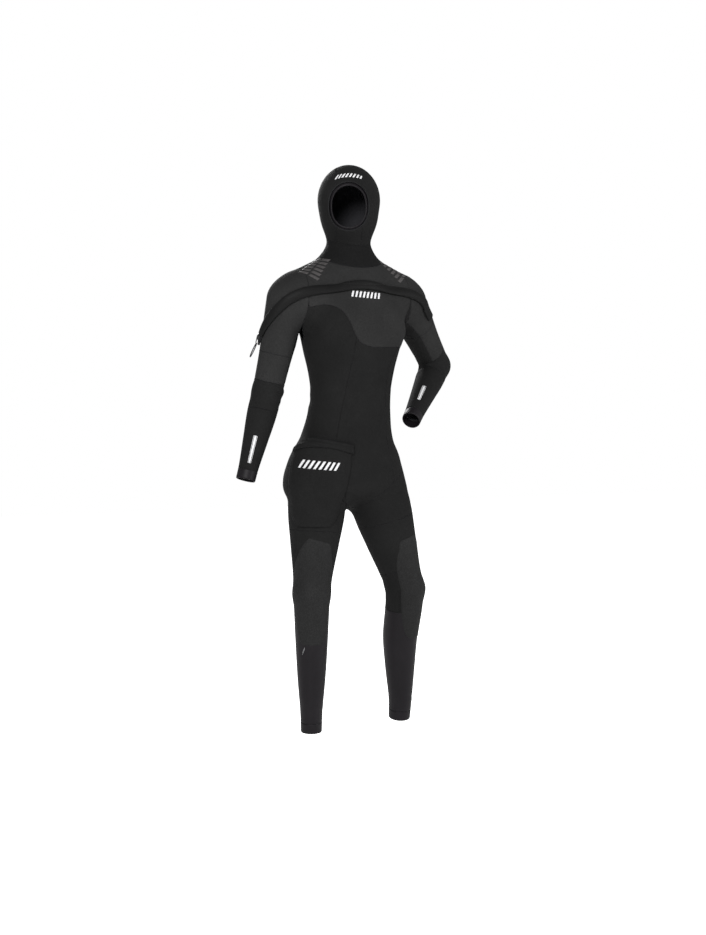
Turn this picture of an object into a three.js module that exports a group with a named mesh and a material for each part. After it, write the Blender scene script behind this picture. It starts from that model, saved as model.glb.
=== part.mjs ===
// Hooded semi-dry wetsuit, standing in the shape of its wearer and empty inside.
// Millimetres, +Z up, the front of the chest faces -Y, the wearer's right is -X, floor at Z = 0.
import * as THREE from 'three';

// ---- driving sizes (mm) -------------------------------------------------------------------
const SUIT_THICK = 5.5;        // neoprene of body, arms and legs
const HOOD_THICK = 5;          // neoprene of the hood
const SEAL_THICK = 3;          // thin smooth-skin seals at face, wrists and ankles
const SEAM_GAP = 0.3;          // clear air left between two panels that are sewn edge to edge
const HOOD_TOP_Z = 1725;       // crown of the hood
const HOOD_WIDTH = 182;        // outside width of the hood over the ears
const FACE_WIDTH = 132;        // face opening across
const FACE_HEIGHT = 134;       // face opening from brow to chin
const HEAD_YAW = -28;          // the hood looks a little to the wearer's right (degrees)
const HIP_SHIFT = -18;         // hips stand over the right leg
const ANKLE_Z = 72;            // lower hem of the right leg
const ZIP_FLAP_WIDTH = 27;     // cover flap over the entry zip
const ZIP_TAPE_WIDTH = 10;     // each cloth tape beside the teeth
const POCKET_WIDTH = 165;      // cargo pocket across
const POCKET_HEIGHT = 236;     // cargo pocket from mouth to foot
const POCKET_DEPTH = 16;       // how far the pocket stands off the leg
const CORD_D = 3;              // pull cord of the zip

// ---- small vector tools ---------------------------------------------------------------------
const add = (a, b) => [a[0] + b[0], a[1] + b[1], a[2] + b[2]];
const sub = (a, b) => [a[0] - b[0], a[1] - b[1], a[2] - b[2]];
const mul = (a, k) => [a[0] * k, a[1] * k, a[2] * k];
const dot = (a, b) => a[0] * b[0] + a[1] * b[1] + a[2] * b[2];
const cross = (a, b) => [a[1] * b[2] - a[2] * b[1], a[2] * b[0] - a[0] * b[2], a[0] * b[1] - a[1] * b[0]];
const len = (a) => Math.hypot(a[0], a[1], a[2]);
const unit = (a) => mul(a, 1 / (len(a) || 1));
const lerp = (a, b, t) => a.map((v, i) => v + (b[i] - v) * t);
const rad = (d) => d * Math.PI / 180;
const clamp = (v, a, b) => Math.min(b, Math.max(a, v));
const smooth = (a, b, v) => {
  const t = clamp((v - a) / (b - a), 0, 1);
  return t * t * (3 - 2 * t);
};

// smooth joining of two bodies: k is the width of the fillet
const join = (a, b, k) => {
  const h = Math.max(k - Math.abs(a - b), 0) / k;
  return Math.min(a, b) - h * h * k * 0.25;
};

// a smooth curve through rows [t, v1, v2, ...]
const curve = (rows, t) => {
  const n = rows.length;
  if (t <= rows[0][0]) return rows[0].slice(1);
  if (t >= rows[n - 1][0]) return rows[n - 1].slice(1);
  let i = 0;
  while (t > rows[i + 1][0]) i += 1;
  const p0 = rows[Math.max(i - 1, 0)];
  const p1 = rows[i];
  const p2 = rows[i + 1];
  const p3 = rows[Math.min(i + 2, n - 1)];
  const h = p2[0] - p1[0];
  const u = (t - p1[0]) / h;
  const out = [];
  for (let k = 1; k < p1.length; k += 1) {
    const m1 = (p2[k] - p0[k]) / (p2[0] - p0[0]) * h;
    const m2 = (p3[k] - p1[k]) / (p3[0] - p1[0]) * h;
    const u2 = u * u;
    const u3 = u2 * u;
    out.push((2 * u3 - 3 * u2 + 1) * p1[k] + (u3 - 2 * u2 + u) * m1 + (3 * u2 - 2 * u3) * p2[k] + (u3 - u2) * m2);
  }
  return out;
};

// ---- the wearer's form that the suit is cut to --------------------------------------------
// one limb segment: an oval tube from a to b. rows: [t, half width, half depth, shift back]
const limb = (a, b, front, rows) => {
  const d = sub(b, a);
  const L = len(d);
  const axis = mul(d, 1 / L);
  const e2 = unit(sub(front, mul(axis, dot(front, axis))));
  const e1 = cross(axis, e2);
  return (p) => {
    const q = sub(p, a);
    const along = dot(q, axis);
    const [r1, r2, back] = curve(rows, clamp(along / L, 0, 1));
    const over = along - clamp(along, 0, L);
    const x = dot(q, e1) / r1;
    const y = (dot(q, e2) + back) / r2;
    const m = Math.min(r1, r2);
    return (Math.hypot(x, y, over / m) - 1) * m;
  };
};
const ball = (c, r, yaw = 0) => (p) => {
  const q = sub(p, c);
  const s = Math.sin(rad(yaw));
  const k = Math.cos(rad(yaw));
  const x = (q[0] * k + q[1] * s) / r[0];
  const y = (-q[0] * s + q[1] * k) / r[1];
  return (Math.hypot(x, y, q[2] / r[2]) - 1) * Math.min(r[0], r[1], r[2]);
};

const FRONT = [0, -1, 0];
const SHOULDER = { R: [-195, 20, 1330], L: [195, 20, 1330] };
const ELBOW = { R: [-243, 58, 1068], L: [361, 122, 1145] };
const WRIST = { R: [-322, 38, 815], L: [198, -9, 981] };
const HIP = { R: [HIP_SHIFT - 84, 6, 845], L: [HIP_SHIFT + 84, 6, 845] };
const KNEE = { R: [-132, -5, 482], L: [168, -28, 482] };
const ANKLE = { R: [-122, 18, ANKLE_Z], L: [198, 60, ANKLE_Z + 6] };
const LEG_FRONT = { R: [-0.47, -0.88, 0], L: [0.53, -0.85, 0] };
const ARM_FRONT = { R: [-0.2, -1, 0], L: [-0.6, -0.6, -0.4] };

// torso stations: [height, half width, half depth, centre x, centre y]
const TORSO = [
  [700, 120, 88, HIP_SHIFT, 18],
  [760, 168, 112, HIP_SHIFT, 20],
  [815, 172, 118, HIP_SHIFT, 22],
  [867, 158, 114, HIP_SHIFT + 4, 20],
  [937, 137, 104, HIP_SHIFT + 9, 12],
  [1000, 124, 96, -4, 6],
  [1066, 119, 93, 0, 4],
  [1125, 126, 98, 0, 4],
  [1185, 142, 110, 0, 0],
  [1240, 154, 118, 0, -3],
  [1290, 156, 112, 0, 3],
  [1340, 150, 100, 0, 10],
  [1385, 128, 82, 0, 14],
];
const torso = (p) => {
  const z = clamp(p[2], 796, 1372);
  const [a, b, cx, cy] = curve(TORSO, z);
  const over = (p[2] - z) / 62;
  const x = (p[0] - cx) / a;
  const y = (p[1] - cy) / b;
  const m = Math.min(a, b);
  const flat = Math.pow(Math.pow(Math.abs(x), 2.3) + Math.pow(Math.abs(y), 2.3), 1 / 2.3);
  return (Math.hypot(flat, over * 0.9) - 1) * m;
};
const bustR = ball([-62, -78, 1252], [62, 46, 62]);
const bustL = ball([62, -78, 1252], [62, 46, 62]);
const pecR = ball([-142, -2, 1338], [56, 56, 52]);
const pecL = ball([142, -2, 1338], [56, 56, 52]);
const seatR = ball([HIP_SHIFT - 62, 78, 800], [80, 62, 78]);
const seatL = ball([HIP_SHIFT + 62, 78, 800], [80, 62, 78]);
const trapR = limb([-42, 16, 1438], [-158, 20, 1370], FRONT, [[0, 38, 44, 0], [1, 46, 52, 0]]);
const trapL = limb([42, 16, 1438], [158, 20, 1370], FRONT, [[0, 38, 44, 0], [1, 46, 52, 0]]);
const neck = limb([-2, 14, 1400], [-6, 2, 1560], FRONT, [[0, 82, 80, 0], [0.35, 72, 72, 0], [0.6, 63, 67, 0], [1, 64, 72, 0]]);
const skull = ball([-6, 2, HOOD_TOP_Z - 103], [HOOD_WIDTH / 2, 110, 103], HEAD_YAW);
const jawAt = [-6 + 22 * Math.sin(rad(HEAD_YAW)), -22 * Math.cos(rad(HEAD_YAW)), HOOD_TOP_Z - 161];
const jaw = ball(jawAt, [77, 84, 68], HEAD_YAW);
const UPPER_ARM = [[0, 62, 62, 0], [0.3, 55, 57, 0], [0.6, 48, 51, 0], [1, 43, 45, 0]];
const FOREARM = [[0, 43, 45, 0], [0.25, 43, 44, 0], [0.55, 36, 38, 0], [0.85, 29, 31, 0], [1, 28, 30, 0]];
const THIGH = [[0, 84, 88, 0], [0.35, 83, 88, 0], [0.6, 71, 76, 0], [0.85, 58, 61, 0], [1, 54, 57, 0]];
const SHIN = [[0, 53, 57, 0], [0.15, 51, 56, 3], [0.38, 47, 53, 10], [0.62, 41, 45, 6], [0.85, 33, 36, 0], [1, 31, 33, 0]];
const LIMBS = {};
for (const s of ['R', 'L']) {
  LIMBS[s] = [
    limb(SHOULDER[s], ELBOW[s], ARM_FRONT[s], UPPER_ARM),
    limb(ELBOW[s], WRIST[s], ARM_FRONT[s], FOREARM),
    limb(HIP[s], KNEE[s], LEG_FRONT[s], THIGH),
    limb(KNEE[s], ANKLE[s], LEG_FRONT[s], SHIN),
  ];
}
const form = (p) => {
  let d = join(torso(p), bustR(p), 34);
  d = join(d, bustL(p), 34);
  d = join(d, pecR(p), 50);
  d = join(d, pecL(p), 50);
  d = join(d, seatR(p), 40);
  d = join(d, seatL(p), 40);
  d = join(d, trapR(p), 40);
  d = join(d, trapL(p), 40);
  d = join(d, neck(p), 40);
  d = join(d, join(skull(p), jaw(p), 24), 24);
  const legs = [0, 0];
  ['R', 'L'].forEach((s, i) => {
    const armK = 8 + 38 * smooth(1195, 1290, p[2]);
    const arm = join(LIMBS[s][0](p), LIMBS[s][1](p), 12);
    d = join(d, arm, armK);
    legs[i] = join(LIMBS[s][2](p), LIMBS[s][3](p), 14);
  });
  const both = join(legs[0], legs[1], 8);
  return join(d, both, 30);
};
const normalAt = (p) => {
  const h = 1.5;
  const g = [0, 1, 2].map((i) => {
    const a = p.slice();
    const b = p.slice();
    a[i] += h;
    b[i] -= h;
    return form(a) - form(b);
  });
  return unit(g);
};
// first crossing of the form along a ray that starts inside it
const hit = (o, d) => {
  let a = 0;
  let b = 14;
  while (form(add(o, mul(d, b))) < 0 && b < 420) {
    a = b;
    b += 14;
  }
  for (let i = 0; i < 18; i += 1) {
    const m = (a + b) / 2;
    if (form(add(o, mul(d, m))) < 0) a = m;
    else b = m;
  }
  return add(o, mul(d, (a + b) / 2));
};

// ---- cut planes: a panel keeps the side where side(p) < 0 --------------------------------
const plane = (p, n) => ({ p, n: unit(n) });
const flip = (pl) => ({ p: pl.p, n: mul(pl.n, -1) });
const both = (a, b) => ({ both: [a, b], n: a.n });
const side = (pl, p) => {
  if (pl.both) return Math.min(side(pl.both[0], p), side(pl.both[1], p));
  if (pl.f) return pl.f(p);
  return dot(sub(p, pl.p), pl.n) + SEAM_GAP / 2;
};
// the direction that a border's wall has to stay square to (null: the wall follows the ray)
const wall = (pl, p) => {
  if (pl.both) return side(pl.both[0], p) < side(pl.both[1], p) ? pl.both[0].n : pl.both[1].n;
  return pl.f ? null : pl.n;
};

// ---- one sewn panel ---------------------------------------------------------------------------
// ray(c, s) gives the ray of column c and row s. The panel reaches from the seed row up to the
// first plane of `top` and down to the first plane of `bottom`; columns run c0..c1 or all round.
const panel = (o) => {
  const { ray, seed, top, bottom, thick } = o;
  const at = (c, s) => {
    const r = ray(c, s);
    return hit(r.o, r.d);
  };
  const edge = (c, planes, sEnd) => {
    const n = o.scan || 40;
    const s0 = typeof seed === 'function' ? seed(c) : seed;
    let last = s0;
    for (let i = 1; i <= n; i += 1) {
      const s = s0 + (sEnd - s0) * i / n;
      const p = at(c, s);
      const which = planes.findIndex((pl) => side(pl, p) > 0);
      if (which >= 0) {
        let a = last;
        let b = s;
        for (let k = 0; k < 14; k += 1) {
          const m = (a + b) / 2;
          const q = at(c, m);
          if (planes.some((pl) => side(pl, q) > 0)) b = m;
          else a = m;
        }
        const q = at(c, b);
        const hitBy = planes.map((pl, k) => [side(pl, q), k]).sort((u, v) => v[0] - u[0])[0][1];
        return { s: a, k: hitBy };
      }
      last = s;
    }
    return { s: sEnd, k: -1 };
  };
  let cols = [];
  const total = o.columns;
  for (let i = 0; i <= total; i += 1) {
    if (o.closed && i === total) break;
    cols.push(o.c0 + (o.c1 - o.c0) * i / total);
  }
  const look = (c) => ({ c, t: edge(c, top, o.sTop), b: edge(c, bottom, o.sBottom), corner: [] });
  let list = cols.map(look);
  const extra = [];
  for (let i = 0; i + 1 < list.length + (o.closed ? 1 : 0); i += 1) {
    const A = list[i];
    const B = list[(i + 1) % list.length];
    const cB = i + 1 < list.length ? B.c : o.c1;
    for (const key of ['t', 'b']) {
      if (A[key].k !== B[key].k) {
        let a = A.c;
        let b = cB;
        for (let k = 0; k < 16; k += 1) {
          const m = (a + b) / 2;
          if (edge(m, key === 't' ? top : bottom, key === 't' ? o.sTop : o.sBottom).k === A[key].k) a = m;
          else b = m;
        }
        const e = look((a + b) / 2);
        e.corner.push([key, A[key].k, B[key].k]);
        extra.push(e);
      }
    }
  }
  list = list.concat(extra).sort((u, v) => u.c - v.c);
  const tidy = [];
  for (const e of list) {
    const before = tidy[tidy.length - 1];
    const close = before && Math.abs(e.c - before.c) < (o.c1 - o.c0) / total * 0.3;
    if (close && before.corner.length && e.corner.length) tidy.push(e);
    else if (close && e.corner.length && tidy.length > 1) tidy[tidy.length - 1] = e;
    else if (close && before.corner.length && e.c < o.c1 - 1e-6) continue;
    else tidy.push(e);
  }
  list = tidy;
  const rows = o.rows;
  const outer = [];
  const inner = [];
  list.forEach((e, i) => {
    const co = [];
    const ci = [];
    const sideCol = !o.closed && (i === 0 || i === list.length - 1);
    for (let j = 0; j <= rows; j += 1) {
      const s = e.t.s + (e.b.s - e.t.s) * j / rows;
      const p = at(e.c, s);
      let q = p;
      const n = normalAt(p);
      const keep = [];
      if (j === 0) {
        const two = e.corner.find((k) => k[0] === 't');
        if (two) two.slice(1).forEach((k) => k >= 0 && keep.push(wall(top[k], p)));
        else if (e.t.k >= 0) keep.push(wall(top[e.t.k], p));
        else keep.push(ray(e.c, s).n);
      }
      if (j === rows) {
        const two = e.corner.find((k) => k[0] === 'b');
        if (two) two.slice(1).forEach((k) => k >= 0 && keep.push(wall(bottom[k], p)));
        else if (e.b.k >= 0) keep.push(wall(bottom[e.b.k], p));
        else keep.push(ray(e.c, s).n);
      }
      if (sideCol) {
        const r1 = ray(e.c, s);
        const r2 = ray(e.c + 1e-3, s);
        keep.push(unit(sub(r2.d, r1.d)));
      }
      let v = n;
      if (o.free) keep.length = 0;
      if (keep.includes(null)) {
        const other = keep.find((k) => k);
        v = ray(e.c, s).d;
        if (other) v = sub(v, mul(other, dot(v, other)));
      }
      else if (keep.length === 1 && keep[0]) v = sub(n, mul(keep[0], dot(n, keep[0])));
      else if (keep.length >= 2 && keep[0] && keep[1]) {
        v = unit(cross(keep[0], keep[1]));
        if (dot(v, n) < 0) v = mul(v, -1);
      }
      const lift = o.lift || 0;
      v = unit(v);
      const k = 1 / Math.max(dot(v, n), 0.6);
      q = sub(p, mul(v, thick * k));
      co.push(add(p, mul(v, lift * k)));
      ci.push(lift ? add(p, mul(v, (lift - thick) * k)) : q);
    }
    outer.push(co);
    inner.push(ci);
  });
  return shell(outer, inner, !!o.closed, !!o.pole);
};

// closed mesh from an outer grid and an inner grid of the same layout (columns of rows);
// with `pole` the first row is one point and the panel is a disc
function shell(outer, inner, closed, pole) {
  const nc = outer.length;
  const nr = outer[0].length;
  const pos = [];
  outer.forEach((c) => c.forEach((p) => pos.push(...p)));
  inner.forEach((c) => c.forEach((p) => pos.push(...p)));
  const O = (i, j) => (pole && j === 0 ? 0 : (i % nc) * nr + j);
  const I = (i, j) => nc * nr + (pole && j === 0 ? 0 : (i % nc) * nr + j);
  const idx = [];
  const tri = (a, b, c) => {
    if (a !== b && b !== c && c !== a) idx.push(a, b, c);
  };
  const quad = (a, b, c, d) => {
    tri(a, b, c);
    tri(a, c, d);
  };
  const last = closed ? nc : nc - 1;
  for (let i = 0; i < last; i += 1) {
    for (let j = 0; j + 1 < nr; j += 1) {
      quad(O(i, j), O(i, j + 1), O(i + 1, j + 1), O(i + 1, j));
      quad(I(i, j), I(i + 1, j), I(i + 1, j + 1), I(i, j + 1));
    }
    if (!pole) quad(O(i, 0), O(i + 1, 0), I(i + 1, 0), I(i, 0));
    quad(O(i, nr - 1), I(i, nr - 1), I(i + 1, nr - 1), O(i + 1, nr - 1));
  }
  if (!closed) {
    for (let j = 0; j + 1 < nr; j += 1) {
      quad(O(0, j), I(0, j), I(0, j + 1), O(0, j + 1));
      quad(O(nc - 1, j), O(nc - 1, j + 1), I(nc - 1, j + 1), I(nc - 1, j));
    }
  }
  return geometry(pos, idx);
}
function geometry(pos, idx) {
  let vol = 0;
  for (let i = 0; i < idx.length; i += 3) {
    const a = pos.slice(idx[i] * 3, idx[i] * 3 + 3);
    const b = pos.slice(idx[i + 1] * 3, idx[i + 1] * 3 + 3);
    const c = pos.slice(idx[i + 2] * 3, idx[i + 2] * 3 + 3);
    vol += dot(a, cross(b, c));
  }
  if (vol < 0) {
    for (let i = 0; i < idx.length; i += 3) {
      const k = idx[i + 1];
      idx[i + 1] = idx[i + 2];
      idx[i + 2] = k;
    }
  }
  const g = new THREE.BufferGeometry();
  g.setAttribute('position', new THREE.Float32BufferAttribute(pos, 3));
  g.setIndex(idx);
  g.computeVertexNormals();
  return g;
}

// ---- materials ---------------------------------------------------------------------------------
const look = (hex, roughness, metalness = 0) => new THREE.MeshStandardMaterial({ color: hex, roughness, metalness });
const HEATHER = () => look('#3b3b3e', 0.9);
const JERSEY = () => look('#242426', 0.9);
const SKIN = () => look('#222126', 0.5);
const GRIP = () => look('#2e2e30', 0.75);
const FLAP = () => look('#1d1d1f', 0.65);
const PLASTIC = () => look('#19191b', 0.4);
const LIGHT = () => look('#d8d8d8', 0.5);

const suit = new THREE.Group();
suit.name = 'wetsuit';
const put = (name, geo, material) => {
  const m = new THREE.Mesh(geo, material);
  m.name = name;
  suit.add(m);
  return m;
};

// ---- shared cut planes ---------------------------------------------------------------------------
const ARMHOLE = { R: plane([-168, 0, 1320], [-1, 0, 0.06]), L: plane([168, 0, 1320], [1, 0, 0.06]) };
const ZIP = plane([0, -88, 1384], [0, -1.15, -1]);            // the yoke keeps what is above the zip
const YOKE_BACK = plane([0, 100, 1292], [0, 0.1, -1]);        // and above the seam across the back
const COLLAR = plane([0, 16, 1461], [0, -0.42, 1]);            // the yoke stops under the collar
const HOOD_SEAM = plane([0, -60, 1488], [0, 0.3, -1]);         // the hood starts above the neck
const CHEST = plane([0, -110, 1218], [0.12, 0, 1]);           // foot of the chest panel
const CROTCH_Y = 24;
const CROTCH_Z = 728;
const GROIN = {
  R: plane([HIP_SHIFT - 17, CROTCH_Y, CROTCH_Z], [-0.62, 0, -0.78]),
  L: plane([HIP_SHIFT + 17, CROTCH_Y, CROTCH_Z], [0.62, 0, -0.78]),
};
const GUSSET_TILT = 34;
const gs = Math.sin(rad(GUSSET_TILT));
const gc = Math.cos(rad(GUSSET_TILT));
const GUSSET_EYE = [HIP_SHIFT, CROTCH_Y, 800];
const GUSSET_FRONT = plane(GUSSET_EYE, [0, gc, -gs]);
const GUSSET_BACK = plane(GUSSET_EYE, [0, -gc, -gs]);

// ---- torso ----------------------------------------------------------------------------------------
const barrel = (c, s) => {
  // s runs from 0 at shoulder height to 1 straight down between the legs
  const a = rad(c);
  const d = [Math.sin(a), -Math.cos(a), 0];
  if (s < 0.8) return { o: [-6, 8, 1400 - 560 * s / 0.8], d, n: [0, 0, 1] };
  const t = (s - 0.8) / 0.2 * Math.PI / 2;
  const ct = Math.cos(t);
  return { o: [-6, 8, 840], d: [d[0] * ct, d[1] * ct, -Math.sin(t)], n: [0, 0, 1] };
};
const body = (name, c0, c1, columns, rows, top, bottom, seed, material) => put(name, panel({
  ray: barrel, c0: c0 + DG, c1: c1 - DG, columns, rows, top, bottom, seed, sTop: 0, sBottom: 1, thick: SUIT_THICK,
}), material);
const DG = 0.1;                 // half of the seam gap as an angle of the barrel
const PRINCESS = 46;            // angle of the seams beside the front panel
const SIDE_BACK = 128;          // angle of the seams beside the back
const above = both(flip(ZIP), flip(YOKE_BACK));
body('chest_panel', -PRINCESS, PRINCESS, 12, 4, [flip(ZIP), ARMHOLE.R, ARMHOLE.L], [flip(CHEST)], 0.2, HEATHER());
body('front_body_panel', -PRINCESS, PRINCESS, 14, 13, [CHEST], [GROIN.R, GROIN.L, GUSSET_FRONT], 0.5, JERSEY());
body('right_side_panel', -SIDE_BACK, -PRINCESS, 9, 14, [ARMHOLE.R, above], [GROIN.R], 0.5, JERSEY());
body('left_side_panel', PRINCESS, SIDE_BACK, 9, 14, [ARMHOLE.L, above], [GROIN.L], 0.5, JERSEY());
body('right_back_panel', 180, 360 - SIDE_BACK, 6, 13, [flip(YOKE_BACK), ARMHOLE.R], [GROIN.R, GROIN.L, GUSSET_BACK], 0.5, JERSEY());
body('left_back_panel', SIDE_BACK, 180, 6, 13, [flip(YOKE_BACK), ARMHOLE.L], [GROIN.L, GROIN.R, GUSSET_BACK], 0.5, JERSEY());
const under = (c, s) => {
  const a = rad(c);
  const d = unit([s, Math.sin(a), -Math.cos(a)]);
  return { o: GUSSET_EYE, d, n: [1, 0, 0] };
};
put('crotch_gusset', panel({
  ray: under, c0: -GUSSET_TILT + 0.6, c1: GUSSET_TILT - 0.6, columns: 6, rows: 3,
  top: [GROIN.R], bottom: [GROIN.L], seed: 0, sTop: -1.2, sBottom: 1.2, thick: SUIT_THICK,
}), JERSEY());

// shoulder yoke, seen from a point deep in the chest
const yoke = (c, s) => {
  const a = rad(c);
  const e = rad(82 - 130 * s);
  return { o: [0, 12, 1300], d: [Math.sin(a) * Math.cos(e), -Math.cos(a) * Math.cos(e), Math.sin(e)], n: [0, 0, 1] };
};
const shoulders = (name, c0, c1) => put(name, panel({
  ray: yoke, c0, c1, columns: 20, rows: 8, thick: SUIT_THICK, seed: 0.28,
  top: [COLLAR], bottom: [ZIP, ARMHOLE.R, ARMHOLE.L, YOKE_BACK], sTop: 0, sBottom: 1,
}), HEATHER());
shoulders('front_yoke', -90 + DG, 90 - DG);
shoulders('back_yoke', 90 + DG, 270 - DG);

// ---- neck and hood --------------------------------------------------------------------------------
const throat = (c, s) => {
  const n = unit(lerp(COLLAR.n, [0, -0.29, 1], s));
  const o = lerp([0, 12, 1459], [-3, 8, 1508], s);
  const a = rad(c);
  const u = unit(sub([0, -1, 0], mul(n, dot([0, -1, 0], n))));
  const v = cross(n, u);
  return { o, d: add(mul(u, Math.cos(a)), mul(v, Math.sin(a))), n };
};
put('neck_collar', panel({
  ray: throat, c0: 0, c1: 360, closed: true, columns: 24, rows: 3, thick: HOOD_THICK, seed: 0.5,
  top: [flip(COLLAR)], bottom: [flip(HOOD_SEAM)], sTop: -0.6, sBottom: 1.6,
}), JERSEY());
const yaw = rad(HEAD_YAW);
const HX = [Math.cos(yaw), Math.sin(yaw), 0];          // hood, wearer's left
const HF = [Math.sin(yaw), -Math.cos(yaw), 0];         // hood, forward
const HU = [0, 0, 1];
const EYE = [-6, 2, HOOD_TOP_Z - 113];                 // point inside the hood that its panels face
const FACE_DROP = -0.17;                               // opening sits a little low of that point
const faceW = FACE_WIDTH / 2 / 92;
const faceH = FACE_HEIGHT / 2 / 92;
const faceK = (p) => {
  const q = sub(p, EYE);
  const f = dot(q, HF);
  if (f <= 5) return 99;
  return Math.hypot(dot(q, HX) / f / faceW, (dot(q, HU) / f - FACE_DROP) / faceH);
};
const FACE_EDGE = { f: (p) => (1.005 - faceK(p)) * 60 };
const CROWN_HALF = 37;
const crownR = plane(add(EYE, mul(HX, -CROWN_HALF)), HX);
const crownL = plane(add(EYE, mul(HX, CROWN_HALF)), mul(HX, -1));
const hoodSide = (name, sgn, crown) => put(name, panel({
  ray: (c, s) => {
    const a = rad(c);
    const w = rad(100 * s);
    const r = add(mul(HU, Math.cos(a)), mul(HF, Math.sin(a)));
    return { o: EYE, d: add(mul(HX, sgn * Math.cos(w)), mul(r, Math.sin(w))), n: HX };
  },
  c0: 0, c1: 360, closed: true, pole: true, columns: 34, rows: 7, thick: HOOD_THICK, seed: 0.15,
  top: [], bottom: [crown, FACE_EDGE, HOOD_SEAM], sTop: 0, sBottom: 1,
}), JERSEY());
hoodSide('hood_right_panel', -1, crownR);
hoodSide('hood_left_panel', 1, crownL);
const strip = (c, s) => {
  // s: 0 straight ahead, 0.25 up, 0.5 back, 0.75 down
  const a = s * 2 * Math.PI;
  return { o: add(EYE, mul(HX, c)), d: add(mul(HF, Math.cos(a)), mul(HU, Math.sin(a))), n: HU };
};
const CS = CROWN_HALF - SEAM_GAP / 2;
put('hood_crown_panel', panel({
  ray: strip, c0: -CS, c1: CS, columns: 6, rows: 14, thick: HOOD_THICK, seed: 0.3,
  top: [FACE_EDGE], bottom: [HOOD_SEAM], sTop: 0, sBottom: 0.72,
}), JERSEY());
put('hood_chin_panel', panel({
  ray: strip, c0: -CS, c1: CS, columns: 6, rows: 3, thick: HOOD_THICK, seed: -0.14,
  top: [FACE_EDGE], bottom: [HOOD_SEAM], sTop: 0, sBottom: -0.24,
}), JERSEY());
const faceRing = (c, s) => {
  const a = rad(c);
  const x = s * faceW * Math.cos(a);
  const z = FACE_DROP + s * faceH * Math.sin(a);
  return { o: EYE, d: unit(add(add(HF, mul(HX, x)), mul(HU, z))), n: null };
};
put('face_seal', panel({
  ray: faceRing, c0: 0, c1: 360, closed: true, columns: 36, rows: 2, thick: SEAL_THICK, seed: 0.9,
  top: [], bottom: [], sTop: 1.03, sBottom: 0.87, lift: -HOOD_THICK - 2.2, free: true,
}), SKIN());

// ---- sleeves and legs -------------------------------------------------------------------------------
// rings: [s, centre, plane normal, hinge]; the panel's rays lie in the rings, and between a ring
// with a hinge and the next one every ring's plane passes through that hinge
const tube = (rings, up) => (c, s) => {
  let i = 0;
  while (i < rings.length - 2 && s > rings[i + 1][0]) i += 1;
  const t = clamp((s - rings[i][0]) / (rings[i + 1][0] - rings[i][0]), 0, 1);
  const n = unit(lerp(rings[i][2], rings[i + 1][2], t));
  let o = lerp(rings[i][1], rings[i + 1][1], t);
  const H = rings[i][3];
  if (H) o = sub(o, mul(n, dot(sub(o, H), n)));
  const u = unit(sub(up, mul(n, dot(up, n))));
  const v = cross(n, u);
  const a = rad(c);
  return { o, d: add(mul(u, Math.cos(a)), mul(v, Math.sin(a))), n };
};
// where the planes on both sides of a bend meet
const bendHinge = (at, a, f, reach) => {
  const b = unit(sub(f, a));
  return add(at, mul(b, -reach / dot(b, a)));
};
const ringPanel = (name, ray, seed, from, to, rows, material, extra = {}) => put(name, panel({
  ray, c0: 0, c1: 360, closed: true, columns: 20, rows, thick: SUIT_THICK, seed,
  top: [flip(from)], bottom: [to], sTop: 0, sBottom: 1, scan: 60, ...extra,
}), material);

const ELBOW_REACH = 60;         // the bending part of a sleeve reaches this far from the elbow
const KNEE_REACH = 62;          // and of a leg from the knee
const CUFF = 28;                // length of the wrist seals
const HEM = 30;                 // length of the ankle seals
const armSets = {};
for (const s of ['R', 'L']) {
  const sx = s === 'R' ? -1 : 1;
  const a = unit(sub(ELBOW[s], SHOULDER[s]));
  const f = unit(sub(WRIST[s], ELBOW[s]));
  const H = [sx * 152, 30, 1162];
  const HE = bendHinge(ELBOW[s], a, f, ELBOW_REACH);
  const top = sub(SHOULDER[s], mul(a, dot(sub(SHOULDER[s], H), a)));
  const e0 = sub(ELBOW[s], mul(a, ELBOW_REACH));
  const e1 = add(ELBOW[s], mul(f, ELBOW_REACH));
  const w0 = sub(WRIST[s], mul(f, CUFF));
  const rings = [
    [0, [sx * 150, 18, 1330], [sx, 0, 0]],
    [0.1, [sx * 168, 18, 1324], ARMHOLE[s].n, H],
    [0.35, top, a],
    [0.5, e0, a, HE],
    [0.6, ELBOW[s], unit(add(a, f)), HE],
    [0.7, e1, f],
    [1, add(WRIST[s], mul(f, 12)), f],
  ];
  const ray = tube(rings, s === 'R' ? [-1, 0, 0.05] : [0.6, 0.1, 0.9]);
  const cut = { head: plane(top, a), e0: plane(e0, a), e1: plane(e1, f), w0: plane(w0, f), w1: plane(WRIST[s], f) };
  armSets[s] = { ray, cut, a, f };
  const who = s === 'R' ? 'right' : 'left';
  ringPanel(`${who}_sleeve_head`, ray, 0.2, ARMHOLE[s], cut.head, 6, HEATHER());
  ringPanel(`${who}_upper_sleeve`, ray, 0.42, cut.head, cut.e0, 3, HEATHER());
  ringPanel(`${who}_elbow_panel`, ray, 0.6, cut.e0, cut.e1, 6, JERSEY());
  ringPanel(`${who}_forearm`, ray, 0.8, cut.e1, cut.w0, 5, JERSEY());
  ringPanel(`${who}_wrist_seal`, ray, 0.96, cut.w0, cut.w1, 1, SKIN(), { thick: SEAL_THICK });
}
const legSets = {};
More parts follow.
